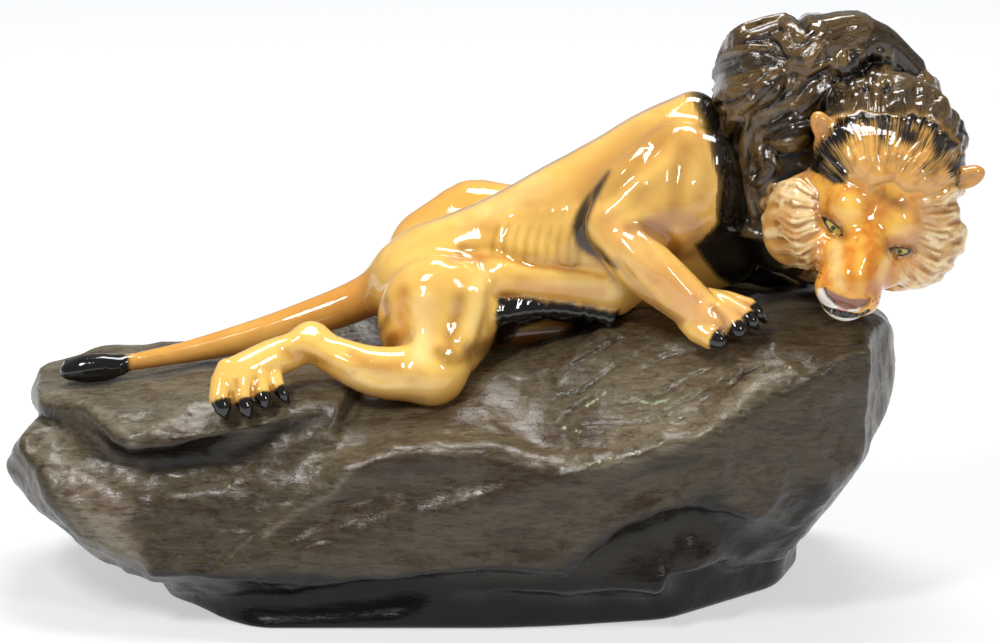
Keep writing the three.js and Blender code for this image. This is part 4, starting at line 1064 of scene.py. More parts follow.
class Paint:
    """Colour, streaks and grain at each vertex of a settled skin."""

    def __init__(self, mesh, clay, outward, ground):
        self.mesh, self.clay, self.outward = mesh, clay, outward
        self.at, self.edges = places(mesh), edges_of(mesh)
        self.colour = np.tile(ground, (len(self.at), 1))
        self.streak = self.colour.copy()
        self.amount = np.zeros(len(self.at))
        self.grain = self.at.copy()
        self.seen = None
        self.sort()

    def sort(self):
        """Which lump each vertex belongs to, with the grain of the lock that it lies on."""
        best = np.full(len(self.at), 1e9)
        self.owner = np.full(len(self.at), -1)
        for i, near in self.clay.near(self.at):
            lump = self.clay.lumps[i]
            if self.clay.cuts[i] or not len(near):
                continue
            grained = isinstance(lump, Limb) and lump.strands
            if grained:
                d, across, along = lump.trace(self.at[near])
            else:
                d = lump.distance(self.at[near])
            won = d < best[near]
            rows = near[won]
            best[rows] = d[won]
            self.owner[rows] = i
            if grained:
                own_start = np.full(won.sum(), i * 7.3)
                self.grain[rows] = np.stack([across[won] * 6, along[won] * 0.12, own_start], 1)
        self.names = np.array(self.clay.names)[self.owner]

    def soften(self, values, rounds):
        """Values at the vertices, blurred along the skin."""
        values = values[:, None].astype(float)
        for _ in range(rounds):
            values = (values + neighbours_mean(values, self.edges)) / 2
        return values[:, 0]

    def zone(self, *names, rounds=2):
        """How much each vertex belongs to the lumps of these names."""
        return self.soften(np.isin(self.names, names), rounds)

    def hollow(self, reach):
        """How deep in a hollow each vertex lies: 0 on a flat or a crest, 1 in a crease."""
        open_air = self.clay.distance(self.at + reach * self.outward)
        return self.soften(np.clip(1.6 * (1 - open_air / reach), 0, 1), 1)

    def crest(self, reach):
        """How sharp a crest each vertex stands on: 0 on a flat or in a hollow, 1 on a thin ridge."""
        inside = self.clay.distance(self.at - reach * self.outward)
        return self.soften(np.clip(1.6 * (1 + inside / reach), 0, 1), 1)

    def mottle(self, pitch, low, high, seed=0):
        """Cloudy patches, each about a pitch across: 0 below the low level, 1 above the high one."""
        at = self.at / pitch + seed
        return rise(np.array([noise.fractal(Vector(p), 1.0, 2.0, 2) for p in at]), low, high)

    def wash(self, code, amount):
        """A colour laid over the paint, by an amount at each vertex."""
        amount = np.clip(amount, 0, 1)[:, None]
        self.colour += (rgb(code) - self.colour) * amount

    def streaks(self, code, amount, where):
        """Streaks along the grain in a second colour."""
        where = np.clip(where, 0, 1)
        self.streak += (rgb(code) - self.streak) * where[:, None]
        self.amount += (amount - self.amount) * where

    def spot(self, lump, soft):
        """How much each vertex lies inside a lump, with a soft rim."""
        return 1 - rise(lump.distance(self.at), -soft, soft)

    def layer(self, path, reach):
        """The vertices that face the eye and lie near a path in the photograph."""
        hits = seen_at(self.clay, path)
        if self.seen is None:
            sight = self.at - EYE
            far = sight @ LOOKING
            across = np.stack([sight[:, 0], -(sight @ UPWARD)], 1) / far[:, None] / PIXEL
            self.seen = across + np.array(IMAGE_SIZE) / 2
        rows = np.nonzero(((self.at > hits.min(0) - reach) & (self.at < hits.max(0) + reach)).all(1))[0]
        return rows[self.outward[rows] @ LOOKING < 0.55]

    def stroke(self, path, radius, soft=1.0):
        """How much of a brush stroke lands on each vertex; path, radius and softness are in pixels."""
        path = np.array(path, float)
        if len(path) == 1:
            path = np.vstack([path, path + 0.01])
        radii = np.broadcast_to(radius, len(path))
        rows = self.layer(path, (radii.max() + soft) * 0.5 + 5)
        amount = np.zeros(len(self.at))
        flat = np.column_stack([self.seen[rows], np.zeros(len(rows))])
        line = Limb(np.column_stack([path, np.zeros(len(path))]), radii, 3)
        amount[rows] = 1 - rise(line.distance(flat), -soft, soft) if len(rows) else 0
        return amount

    def patch(self, outline, soft=1.0):
        """How much of a filled patch lands on each vertex; its outline is given in pixels."""
        outline = np.array(outline, float)
        rows = self.layer(outline, 8)
        at, ends = self.seen[rows][:, None], np.roll(outline, -1, 0)
        span = ends - outline
        t = np.clip(((at - outline) * span).sum(2) / (span ** 2).sum(1), 0, 1)
        away = np.linalg.norm(at - outline - t[..., None] * span, axis=2).min(1)
        over = (outline[:, 1] > at[..., 1]) != (ends[:, 1] > at[..., 1])
        drop = np.where(span[:, 1] == 0, 1, span[:, 1])
        cross = outline[:, 0] + (at[..., 1] - outline[:, 1]) / drop * span[:, 0]
        inside = (over & (at[..., 0] < cross)).sum(1) % 2 == 1
        amount = np.zeros(len(self.at))
        amount[rows] = 1 - rise(np.where(inside, -away, away), -soft, soft)
        return amount

    def keep(self):
        """The paint as attributes of the mesh."""
        ones = np.ones(len(self.at))
        for name, values, alpha in (("paint", self.colour, self.amount), ("streak", self.streak, ones)):
            layer = self.mesh.attributes.new(name, "FLOAT_COLOR", "POINT")
            layer.data.foreach_set("color", np.column_stack([values, alpha]).ravel().astype(np.float32))
        layer = self.mesh.attributes.new("grain", "FLOAT_VECTOR", "POINT")
        layer.data.foreach_set("vector", self.grain.ravel().astype(np.float32))


# Pale green glaze rubbed on the rock, as it shows in the photograph: strength, radius, softness, path.
ROCK_PALE = (
    (0.9, 3, 4, ((606, 392), (596, 400), (586, 406))), (0.9, 3, 4, ((632, 398), (650, 403), (668, 400))),
    (0.7, 3, 4, ((560, 426), (580, 432), (604, 432))), (0.7, 4, 5, ((575, 462), (600, 461), (640, 452))),
    (0.7, 3, 4, ((684, 398), (704, 388), (730, 372))), (0.6, 4, 5, ((640, 420), (664, 420), (690, 414))),
    (0.6, 3, 4, ((600, 350), (620, 338), (640, 330))), (0.7, 4, 5, ((760, 372), (776, 366), (792, 368))),
)
# Painted shade and painted highlights on the rock, as they show: colour, strength, softness, outline. The
# # first two are painted shade, in the undercut on the right and in the recess under the ledge; the last two
# # are painted highlights, on the front of the left bulge and on the slope below the fore paw.
ROCK_PATCHES = (
    ("1a1612", 0.8, 12, ((560, 575), (593, 545), (622, 527), (665, 512), (708, 510), (760, 520), (800, 535),
                         (795, 590), (560, 600))),
    ("15120e", 0.85, 8, ((116, 452), (240, 440), (300, 414), (330, 412), (240, 466), (150, 472))),
    ("a39a86", 0.7, 16, ((60, 472), (140, 470), (130, 520), (142, 566), (100, 556), (80, 520))),
    ("9a8f76", 0.55, 24, ((600, 372), (700, 330), (780, 366), (736, 398), (690, 430), (610, 452))),
)


def paint_rock(paint):
    """Painted light on the upward faces, brown sides, painted shade near black on the undersides, on the
    foot and in the hollows, and the patches and crests that show: painted shade, painted highlights, and
    pale crests of rubbed glaze with a painted highlight.
    """
    x, _, z = paint.at.T
    up = paint.outward[:, 2]
    # Painted light: a paler brown on the faces that look up, towards the lamps.
    paint.wash("6b5f49", 0.9 * rise(up, 0.25, 0.8))
    paint.wash("7c7663", 0.8 * rise(-x, 60, 120) * rise(up, 0.5, 0.9))
    paint.wash("5c5348", 0.6 * rise(-x, 110, 160) * rise(-up, -0.4, 0.3))
    # Painted shade, near black: on the faces that look down, in the hollows, and on the foot under the
    # overhang.
    paint.wash("0b0906", 0.9 * rise(-up, 0.2, 0.6))
    paint.wash("0f0c09", 0.85 * rise(paint.hollow(10), 0.35, 0.95))
    paint.wash("080604", rise(-z, -32, -22) * rise(x, -160, -150))
    # Painted shade in the undercut and under the ledge, and painted highlights on the left bulge and the
    # slope.
    for code, amount, soft, outline in ROCK_PATCHES:
        paint.wash(code, amount * paint.patch(outline, soft))
    # Pale rubbed glaze along the first ridges' crests, with a painted highlight.
    for *_, path in RIDGES[:PALE_RIDGES]:
        paint.wash("a8a08c", 0.4 * paint.stroke(path, 2.2, 5))
    for amount, radius, soft, path in ROCK_PALE:
        paint.streaks("a9b494", amount, paint.stroke(path, radius, soft))


# Brush strokes on the body as they show in the photograph: colour, strength, radius, softness, path. The
# # brown strokes that follow the furrows, the gaps between the toes and the undersides of the belly and the
# shin
# # are painted shade; the pale strokes over the back, the calf, the belly's bulge and the thigh's muscles
# are
# # painted highlights.
BODY_STROKES = (
    ("b48a4a", 0.7, 11, 12, ((702, 130), (706, 165), (702, 200))),
    ("f2d28c", 0.6, 9, 14, ((470, 226), (500, 206), (540, 188))),
    ("f4d690", 0.5, 9, 12, ((350, 380), (390, 385), (430, 388))),
    ("f4d690", 0.5, 7, 9, ((530, 284), (570, 286), (610, 294))),
    ("c58430", 0.75, 6, 8, ((404, 292), (401, 312), (404, 330))),
    ("9c641a", 0.75, 5, 9, ((460, 298), (456, 318), (450, 338), (450, 352))),
    ("8a6420", 0.7, 6, 6, ((438, 352), (450, 362), (464, 360))),
    ("b87c34", 0.6, 6, 6, ((352, 356), (376, 366), (398, 366))),
    ("b87828", 0.6, 5, 5, ((286, 354), (304, 360), (326, 362))),
    ("9a6420", 0.6, 4, 5, ((300, 378), (340, 392), (380, 400), (420, 402))),
    ("b88044", 0.6, 5, 5, ((452, 258), (466, 256), (482, 260))),
    ("fbe0a0", 0.5, 9, 9, ((424, 300), (425, 330), (420, 356))),
    ("f8dc98", 0.4, 7, 9, ((484, 276), (480, 300), (472, 325))),
    ("bd8a3c", 0.75, 16, 14, ((590, 186), (616, 168), (640, 148), (668, 128))),
    ("c29048", 0.55, 18, 16, ((540, 210), (590, 186), (640, 140))),
    ("b98a48", 0.65, 12, 12, ((640, 196), (668, 176), (690, 150))),
    ("d29a44", 0.6, 8, 9, ((470, 222), (500, 236), (480, 246))),
    ("b5822e", 0.6, 5, 7, ((498, 250), (530, 258), (570, 264))),
    ("8a5a20", 0.7, 4, 5, ((384, 300), (388, 316), (380, 330))),
    ("d8a060", 0.7, 14, 12, ((612, 222), (632, 244), (660, 272), (690, 300))),
    ("e4ae70", 0.7, 16, 9, ((690, 306), (716, 318), (740, 316))),
    ("a97e52", 0.75, 12, 10, ((650, 228), (672, 218), (690, 224), (700, 244))),
    ("94643c", 0.6, 6, 6, ((630, 228), (648, 226), (666, 234))),
    ("b98a44", 0.6, 8, 8, ((668, 134), (652, 150), (634, 170), (616, 192))),
    ("a87a3c", 0.6, 8, 8, ((684, 150), (682, 176), (676, 204))),
    ("8f6038", 0.6, 4, 5, ((616, 262), (634, 284), (656, 304), (680, 324))),
    ("8f6038", 0.6, 2, 3, ((712, 306), (722, 318), (726, 330))),
    ("a0682c", 0.6, 2, 3, ((236, 380), (238, 392), (240, 400))),
    ("a0682c", 0.6, 2, 3, ((256, 378), (258, 390), (260, 398))),
    ("7a4a16", 0.8, 8, 6, ((470, 352), (505, 342), (545, 334), (590, 326))),
    ("c07420", 0.75, 1.6, 2.5, ((478, 256), (500, 258), (530, 265), (560, 268), (590, 274), (604, 278))),
    ("d08a3c", 0.5, 6, 5, ((520, 282), (556, 290), (600, 292))),
)
# Places on the body where black hair is brushed over the coat: strength, radius, softness, path.
BODY_BLACKS = (
    (0.3, 6, 12, ((704, 104), (712, 140), (716, 176), (714, 210))),
    (0.4, 8, 10, ((706, 236), (720, 252), (738, 268))),
)
# Filled areas of the body as they show: the mane's black edge, which runs down into painted shade on the
# chest
# # under the mane, the belly's fringe, the inner thigh.
COLLAR_PATCH = (
    (702, 88), (730, 104), (745, 150), (754, 200), (768, 262), (812, 296), (800, 304), (744, 296),
    (716, 278), (700, 258), (692, 244), (706, 238), (716, 222), (719, 184), (713, 140), (702, 108))
FRINGE_PATCH = (
    (493, 348), (497, 326), (505, 311), (520, 304), (560, 308), (600, 315), (630, 316), (621, 324),
    (585, 324), (545, 321), (520, 329), (508, 344))
INNER_THIGH = (
    (502, 346), (522, 331), (560, 324), (604, 326), (565, 340), (524, 354), (496, 370), (480, 374))
# The black edge behind the elbow as it shows, and its half width at each point, in pixels.
ELBOW_EDGE = ((609, 172), (597, 190), (586, 208), (580, 228), (586, 244), (600, 254), (616, 268))
ELBOW_WIDTH = (1.5, 4, 6.5, 8, 7.5, 5, 1.5)
# The shade between two ribs as it shows: how far across from the middle, how far down, and how much
# further down at each next rib.
RIB_SHADE = ((6, 226, 0), (2, 240, 0), (1, 256, 1))
# Lines of paint in millimetres: the grey spine, and the mane's black edge on the near and the far side.
SPINE_LINE = ((84, 1, 222), (43, 1, 196), (9, 2, 180), (-20, 4, 163), (-44, 8, 149))
COLLAR = ((88, -4, 220), (95, -30, 202), (102, -34, 182), (104, -34, 164), (102, -30, 148))
FAR_COLLAR = ((90, 0, 220), (98, 24, 208), (104, 34, 188), (108, 36, 164))
# The tail's darker amber runs along this line.
TAIL_LINE = ((-52, 12, 128), (-100, 8, 110), (-168, -4, 97))
HAIR_AND_SHADE_BLACK = "14110f"


def paint_body(paint):
    """An ochre coat with painted shade in its folds, between its ribs and toes and underneath, brushed
    tones, painted highlights over the back and the muscles, and black hair that runs into painted shade on
    the chest.
    """
    hollow = paint.hollow(6)
    # Painted shade: amber brown on the faces that look down and in the folds.
    paint.wash("cf9440", 0.75 * rise(-paint.outward[:, 2], -0.2, 0.8))
    paint.wash("a0661c", 0.8 * rise(hollow, 0.3, 0.9))
    paint.wash("e0a040", 0.6 * paint.spot(world.egg((-26, 34, 150), (34, 20, 26)), 8))
    paint.wash("cb8634", 0.8 * paint.spot(world.limb(TAIL_LINE, (12, 9, 6)), 5))
    # Among these strokes: painted shade along the furrows and underneath, and painted highlights over the
    # back and the muscles.
    for code, amount, radius, soft, path in BODY_STROKES:
        paint.wash(code, amount * paint.stroke(path, radius, soft))
    # Painted shade between the ribs.
    for i in range(RIBS + 1):
        x = RIB_FROM - RIB_PITCH / 2 + i * RIB_PITCH
        path = [(x + across, down + i * more) for across, down, more in RIB_SHADE]
        paint.wash("b08428", 0.6 * paint.stroke(path, (0.6, 1.6, 2.2), 3))
    paint.wash("ab9a90", 0.85 * paint.spot(world.limb(SPINE_LINE, [2.5] * len(SPINE_LINE)), 3))
    for amount, radius, soft, path in BODY_BLACKS:
        paint.streaks(HAIR_AND_SHADE_BLACK, amount, paint.stroke(path, radius, soft))
    paint.streaks(HAIR_AND_SHADE_BLACK, 0.9, paint.spot(world.limb(COLLAR, (7, 5, 4, 4, 8)), 8))
    paint.streaks(HAIR_AND_SHADE_BLACK, 0.9, paint.spot(world.limb(FAR_COLLAR, (7, 6, 6, 7)), 8))
    # Black hair along the mane's edge, running on into painted shade on the chest under the mane.
    paint.streaks(HAIR_AND_SHADE_BLACK, 0.92, paint.patch(COLLAR_PATCH, 5))
    paint.wash("7a4e1c", 0.8 * paint.patch(INNER_THIGH, 5))
    paint.wash("16130f", 0.95 * paint.patch(FRINGE_PATCH, 2.5))
    paint.wash("1d1a18", 0.92 * paint.stroke(ELBOW_EDGE, ELBOW_WIDTH, 3))
    paint.wash("100e0c", paint.zone("fringe", "claw", rounds=1))
    paint.wash("0f0d0c", rise(paint.zone("tuft", rounds=4), 0.1, 0.7))
    paint.grain = paint.at * (0.45, 0, 0.045)


# Each eye's middle line from corner to corner, as it shows.
EYE_LINES = {
    1: ((822, 217), (827.5, 222), (833, 227.7), (838, 232.2), (842.5, 235.5)),
    -1: ((889, 249), (894, 250.3), (900, 251.5), (906, 251.3), (912.5, 250)),
}
# The whiskers' roots, the pad of the nose, the pale lips and chin, and the tongue, as they show.
WHISKERS = (
    (817.3, 267.3), (816.5, 271.5), (819, 277.8), (821, 273), (873, 300.9), (875.5, 298.8), (877.3, 303),
    (880, 297))
NOSE_PAD = (
    (824.5, 287), (837.3, 294.6), (850, 298.8), (869.5, 298.5), (866, 305), (856, 309), (846, 309.5),
    (835, 305))
LIPS = (
    (817, 289), (823, 288), (828, 297), (835, 304), (846, 309.5), (861, 307), (858, 311.5), (846, 312),
    (830, 309), (818, 300))
CHIN = ((818, 304), (828, 312), (846, 316), (860, 315), (856, 322), (838, 325), (822, 320))
TONGUE = ((838, 309), (846, 310.5))
# The muzzle, where no black streaks run, and the shade under the mane, as they show.
MUZZLE = ((812, 255), (908, 255), (890, 300), (866, 326), (836, 332), (810, 316))
UNDER_MANE = ((722, 240), (760, 236), (775, 262), (800, 280), (830, 300), (800, 300), (740, 285))
# Brush strokes on the face: colour, strength, radius, softness, path. The two brown arcs round the brows are
# # painted shade.
FACE_STROKES = (
    ("f4c860", 0.85, 12, 10, ((848, 206), (850, 214))),
    ("f4c860", 0.85, 11, 10, ((899, 222), (900, 230))),
    ("b86c20", 0.5, 2.5, 5, ((826, 216), (828, 204), (838, 194), (852, 189), (864, 194), (871, 208))),
    ("b86c20", 0.5, 2.5, 5, ((878, 226), (881, 212), (890, 204), (904, 204), (916, 212), (920, 226))),
    ("c8701c", 0.75, 4, 5, ((868, 214), (871, 226), (870, 240), (864, 250))),
    ("c06818", 0.6, 4, 5, ((846, 238), (856, 232), (864, 232))),
    ("c06818", 0.6, 4, 5, ((880, 248), (888, 242), (900, 241))),
    ("d0802c", 0.7, 6, 6, ((821, 240), (822, 262), (824, 280))),
    ("f3cf86", 0.7, 6, 6, ((836, 246), (836, 266), (839, 284))),
    ("cc7420", 0.7, 5, 6, ((852, 250), (850, 268), (852, 286))),
    ("f0b450", 0.6, 4, 4, ((862, 254), (860, 272))),
    ("c06a1c", 0.75, 6, 6, ((874, 254), (870, 272), (872, 290))),
    ("f0c060", 0.6, 4, 4, ((886, 262), (882, 276))),
    ("b8641c", 0.7, 5, 5, ((896, 262), (888, 280), (878, 292))),
    ("e2b072", 0.8, 10, 9, ((908, 234), (918, 252), (906, 268))),
    ("a86a34", 0.55, 5, 6, ((884, 238), (892, 240), (908, 242), (916, 236))),
    ("a86a34", 0.55, 4, 5, ((822, 212), (832, 220), (842, 230))),
    ("d08c48", 0.6, 8, 8, ((862, 196), (874, 204), (884, 212))),
    ("d9a468", 0.7, 8, 8, ((905, 205), (922, 212), (934, 222))),
    ("6b4630", 0.6, 5, 6, ((877, 192), (888, 198), (901, 206))),
)
# Where black hair covers the forehead, and where yellow tufts run up through it: strength, radius,
# softness, path.
FAN_BLACKS = (
    (0.72, 9, 14, FAN_ENDS),
    (0.64, 10, 9, ((806, 160), (818, 174), (838, 184))),
    (0.6, 9, 9, ((894, 124), (904, 134), (918, 140))),
    (0.62, 7, 8, ((942, 138), (940, 156), (930, 170))),
    (0.62, 8, 8, ((828, 150), (836, 160), (842, 170))),
    (0.58, 6, 7, ((878, 124), (884, 142))),
    (0.64, 7, 7, ((955, 168), (962, 178), (958, 190))),
)
FAN_TUFTS = (
    (0.36, 3, 6, ((868, 160), (862, 138), (857, 122))),
    (0.36, 3, 6, ((880, 160), (876, 138), (873, 122))),
    (0.36, 3, 6, ((905, 168), (916, 148), (926, 132))),
    (0.32, 4, 6, ((925, 176), (942, 160), (956, 152))),
    (0.36, 3, 6, ((852, 172), (842, 158), (834, 148))),
    (0.4, 3, 6, ((890, 160), (894, 140), (897, 122))),
)
# The point inside the head, in its own axes, that the hair's grain runs out from.
FAN_CENTRE = (0, 8, 14)
MOUTH_BLACK = "120e0c"
GLAZE_WHITE = "f4f1ea"


def paint_eye(paint, side):
    """A brown rim, the black line of the lids, the green iris and the pupil."""
    line = EYE_LINES[side]
    paint.wash("7c4a1c", 0.6 * paint.stroke(line, 6, 4))
    paint.wash("0c0a08", paint.stroke(line, (0.8, 3.7, 4.8, 3.9, 0.8), 0.8))
    paint.wash("b8a844", paint.stroke(line[1:-1], (1.5, 3.1, 1.7), 0.6))
    paint.wash("0a0a08", paint.stroke([PUPILS[side]], 2.3, 0.6))


def paint_head(paint, rng):
    """The dark mane, lock by lock, the amber face with its ruff, and the face's fine strokes, with painted
    highlights on the crests and painted shade in the hollows and under the mane.
    """
    own = head.inside(paint.at)
    hollow, crest = paint.hollow(3.2), paint.crest(2.6)
    per_lock = rng.uniform(0, 1, len(paint.clay.lumps))[paint.owner]
    # Painted highlight: a lighter brown on the locks' crests, more on some locks than on others.
    paint.wash("785c2c", 0.75 * rise(crest, 0.1, 0.6) * (0.4 + 0.6 * per_lock))
    paint.wash("846a3a", 0.6 * rise(per_lock, 0.75, 0.95))
    paint.wash("17120d", 0.75 * rise(per_lock, 0.3, 0.1))
    paint.streaks("0d0b09", 0.41, np.ones(len(paint.at)))
    # Painted shade, near black, in the hollows between the locks and under the mane.
    paint.wash("0b0908", 0.95 * rise(hollow, 0.35, 0.85))
    paint.wash("0b0908", 0.9 * paint.patch(UNDER_MANE, 8))
    face = paint.zone("face", rounds=3)
    ear = paint.zone("ear", rounds=2)
    cheek = paint.zone("ruff", rounds=3)
    fan = paint.zone("forehead", rounds=5)
    for code, zone in (("d8a558", fan), ("dcae62", cheek), ("e2a843", face), ("c8924a", ear)):
        paint.wash(code, zone)
    paint.streaks("15110d", 0.0, np.maximum(np.maximum(face, ear), fan))
    paint.streaks("b87a30", 0.3, cheek)
    # Painted highlight in pale cream on the ruff's crests, and painted shade in brown in its hollows.
    paint.wash("f3dfae", 0.8 * cheek * rise(crest, 0.08, 0.45))
    paint.wash("96602a", 0.9 * cheek * rise(hollow, 0.08, 0.5))
    paint.wash("c48a3c", 0.6 * cheek * paint.mottle(9, -0.1, 0.4, 3))
    # Painted shade in burnt orange in the face's hollows.
    paint.wash("b0641a", 0.5 * face * rise(hollow, 0.4, 0.95))
    paint.wash("c06c1c", 0.6 * face * paint.mottle(4, -0.05, 0.4))
    paint.wash("b87c3c", 0.6 * fan * paint.mottle(5, 0.0, 0.5, 9))
    paint.streaks("120f0c", 0.3, fan * rise(own[:, 2], 18, 34))
    for amount, radius, soft, path in FAN_BLACKS + FAN_TUFTS:
        where = paint.stroke(path, radius, soft) * fan
        paint.streaks("120f0c", amount, where)
        paint.wash("75602c", 0.7 * where * amount)
    skin = np.maximum(face, np.maximum(cheek, fan))
    # Among the face's strokes, the brown arcs round the brows are painted shade.
    for code, amount, radius, soft, path in FACE_STROKES:
        paint.wash(code, amount * paint.stroke(path, radius, soft) * skin)
    paint.amount *= 1 - paint.patch(MUZZLE, 4)
    for side in SIDES:
        paint_eye(paint, side)
    paint.wash(GLAZE_WHITE, paint.patch(LIPS, 1.2))
    paint.wash(GLAZE_WHITE, paint.patch(CHIN, 1.5))
    paint.wash("d77f7c", 0.8 * paint.stroke(TONGUE, 1.6, 1.0))
    paint.wash("8f6250", paint.patch(NOSE_PAD, 1.0))
    slit = paint.clay.lumps[paint.clay.names.index("mouth")]
    paint.wash(MOUTH_BLACK, 1 - rise(slit.distance(paint.at), 0.15, 0.6))
    paint.wash(MOUTH_BLACK, paint.stroke(NOSTRILS[0], (0.8, 1.3, 1.2), 0.7))
    paint.wash("4a2c22", 0.8 * paint.stroke(NOSTRILS[1], (0.6, 1.1, 0.9), 0.8))
    for dot in WHISKERS:
        paint.wash("1a120c", paint.stroke([dot], 0.9, 0.5))
    turn = np.arctan2(own[:, 0], own[:, 2] - FAN_CENTRE[2])
    away = np.linalg.norm(own - FAN_CENTRE, axis=1)
    rays = np.column_stack([turn * 26, away * 0.06, np.zeros(len(own))])
    paint.grain = np.where((fan + face + ear > 0.5)[:, None], rays, paint.grain)
    paint.grain = np.where((face > 0.5)[:, None], own * 0.05, paint.grain)


# The names of the two glazes.
GLAZE = "painted_glaze"
STONE = "rock_glaze"


# The finishes: node materials that read the paint's attributes and the piece's own coordinates.

class Nodes:
    """A material's node tree, with short ways to add what the glazes need."""

    def __init__(self, name):
        self.material = bpy.data.materials.new(name)
        self.material.use_nodes = True
        self.tree = self.material.node_tree
        self.tree.nodes.clear()
        self.shader = self.add("ShaderNodeBsdfPrincipled")
        out = self.add("ShaderNodeOutputMaterial")
        self.link(self.shader.outputs["BSDF"], out.inputs["Surface"])
        self.place = self.add("ShaderNodeTexCoord").outputs["Object"]

    def add(self, kind, **settings):
        node = self.tree.nodes.new(kind)
        for name, value in settings.items():
            setattr(node, name, value)
        return node

    def link(self, source, target):
        self.tree.links.new(source, target)

    def put(self, value, target):
        """A number, a colour or another node's output into a socket."""
        if isinstance(value, bpy.types.NodeSocket):
            self.link(value, target)
        else:
            target.default_value = value

    def attribute(self, name):
        """An attribute of the mesh, as the paint keeps it."""
        return self.add("ShaderNodeAttribute", attribute_name=name)

    def stretched(self, vector, scale, turn=(0, 0, 0)):
        """Coordinates scaled along each axis and turned by degrees."""
        node = self.add("ShaderNodeMapping")
        self.put(vector, node.inputs["Vector"])
        node.inputs["Scale"].default_value = scale
        node.inputs["Rotation"].default_value = [math.radians(a) for a in turn]
        return node.outputs["Vector"]

    def noise(self, vector, scale, detail=2.0, roughness=0.5, warp=0.0):
        node = self.add("ShaderNodeTexNoise")
        self.put(vector, node.inputs["Vector"])
        node.inputs["Scale"].default_value = scale
        node.inputs["Detail"].default_value = detail
        node.inputs["Roughness"].default_value = roughness
        node.inputs["Distortion"].default_value = warp
        return node.outputs["Fac"]

    def band(self, value, low, high, to_low=0.0, to_high=1.0):
        """A smooth step from one number to another while the value goes from low to high."""
        node = self.add("ShaderNodeMapRange", interpolation_type="SMOOTHSTEP")
        self.put(value, node.inputs["Value"])
        names = ("From Min", "From Max", "To Min", "To Max")
        for name, number in zip(names, (low, high, to_low, to_high)):
            node.inputs[name].default_value = number
        return node.outputs["Result"]

    def reckon(self, operation, a, b):
        """Two numbers added or multiplied."""
        node = self.add("ShaderNodeMath", operation=operation)
        self.put(a, node.inputs[0])
        self.put(b, node.inputs[1])
        return node.outputs["Value"]

    def mix(self, amount, a, b, blend="MIX"):
        """Two colours mixed by an amount."""
        node = self.add("ShaderNodeMix", data_type="RGBA", blend_type=blend)
        # A Mix node has its numbers' and vectors' sockets before those of its colours.
        self.put(amount, node.inputs[0])
        self.put(a, node.inputs[6])
        self.put(b, node.inputs[7])
        return node.outputs[2]

    def bump(self, height, distance, strength=1.0, normal=None):
        """A surface raised by a height of 0 to 1 times a distance in metres, over another bump."""
        node = self.add("ShaderNodeBump")
        self.put(height, node.inputs["Height"])
        node.inputs["Distance"].default_value = distance
        node.inputs["Strength"].default_value = strength
        if normal is not None:
            self.put(normal, node.inputs["Normal"])
        return node.outputs["Normal"]


def linear(code):
    """A colour code as the four numbers of a colour socket."""
    return (*rgb(code), 1.0)


def porcelain_glaze(roughness):
    """Painted porcelain under a thick clear glaze; the second colour is brushed on along the grain."""
    n = Nodes(GLAZE)
    paint, streak = n.attribute("paint"), n.attribute("streak")
    grain = n.attribute("grain").outputs["Vector"]
    strand = n.noise(grain, 1.7, 3, 0.6)
    fine = n.noise(n.stretched(grain, (1.0, 0.6, 1.0)), 4.5, 2, 0.5)
    mixed = n.reckon("ADD", n.reckon("MULTIPLY", strand, 0.65), n.reckon("MULTIPLY", fine, 0.35))
    reach = n.reckon("ADD", mixed, n.reckon("MULTIPLY", paint.outputs["Alpha"], 0.8))
    colour = n.mix(n.band(reach, 0.76, 0.97), paint.outputs["Color"], streak.outputs["Color"])
    # Thin and thick places of the colour, as a brush leaves them.
    cloud = n.noise(n.place, 45, 3, 0.55, 0.4)
    colour = n.mix(n.band(cloud, 0.38, 0.66, 0.22, 0.0), colour, linear("c89048"), "MULTIPLY")
    n.link(colour, n.shader.inputs["Base Color"])
    gloss = n.band(n.noise(n.place, 40, 2), 0.3, 0.7, roughness * 0.7, roughness * 1.5)
    n.link(gloss, n.shader.inputs["Roughness"])
    n.shader.inputs["IOR"].default_value = 1.52
    n.shader.inputs["Coat Weight"].default_value = 0.35
    n.shader.inputs["Coat Roughness"].default_value = 0.02
    # The glaze stands in low ripples, and a little higher over the strokes of the hair.
    ripple = n.bump(n.noise(n.place, 80, 1, 0.4), 0.0006, 0.35)
    hair = n.bump(strand, 0.0004, 0.2, ripple)
    n.link(hair, n.shader.inputs["Normal"])
    return n.material


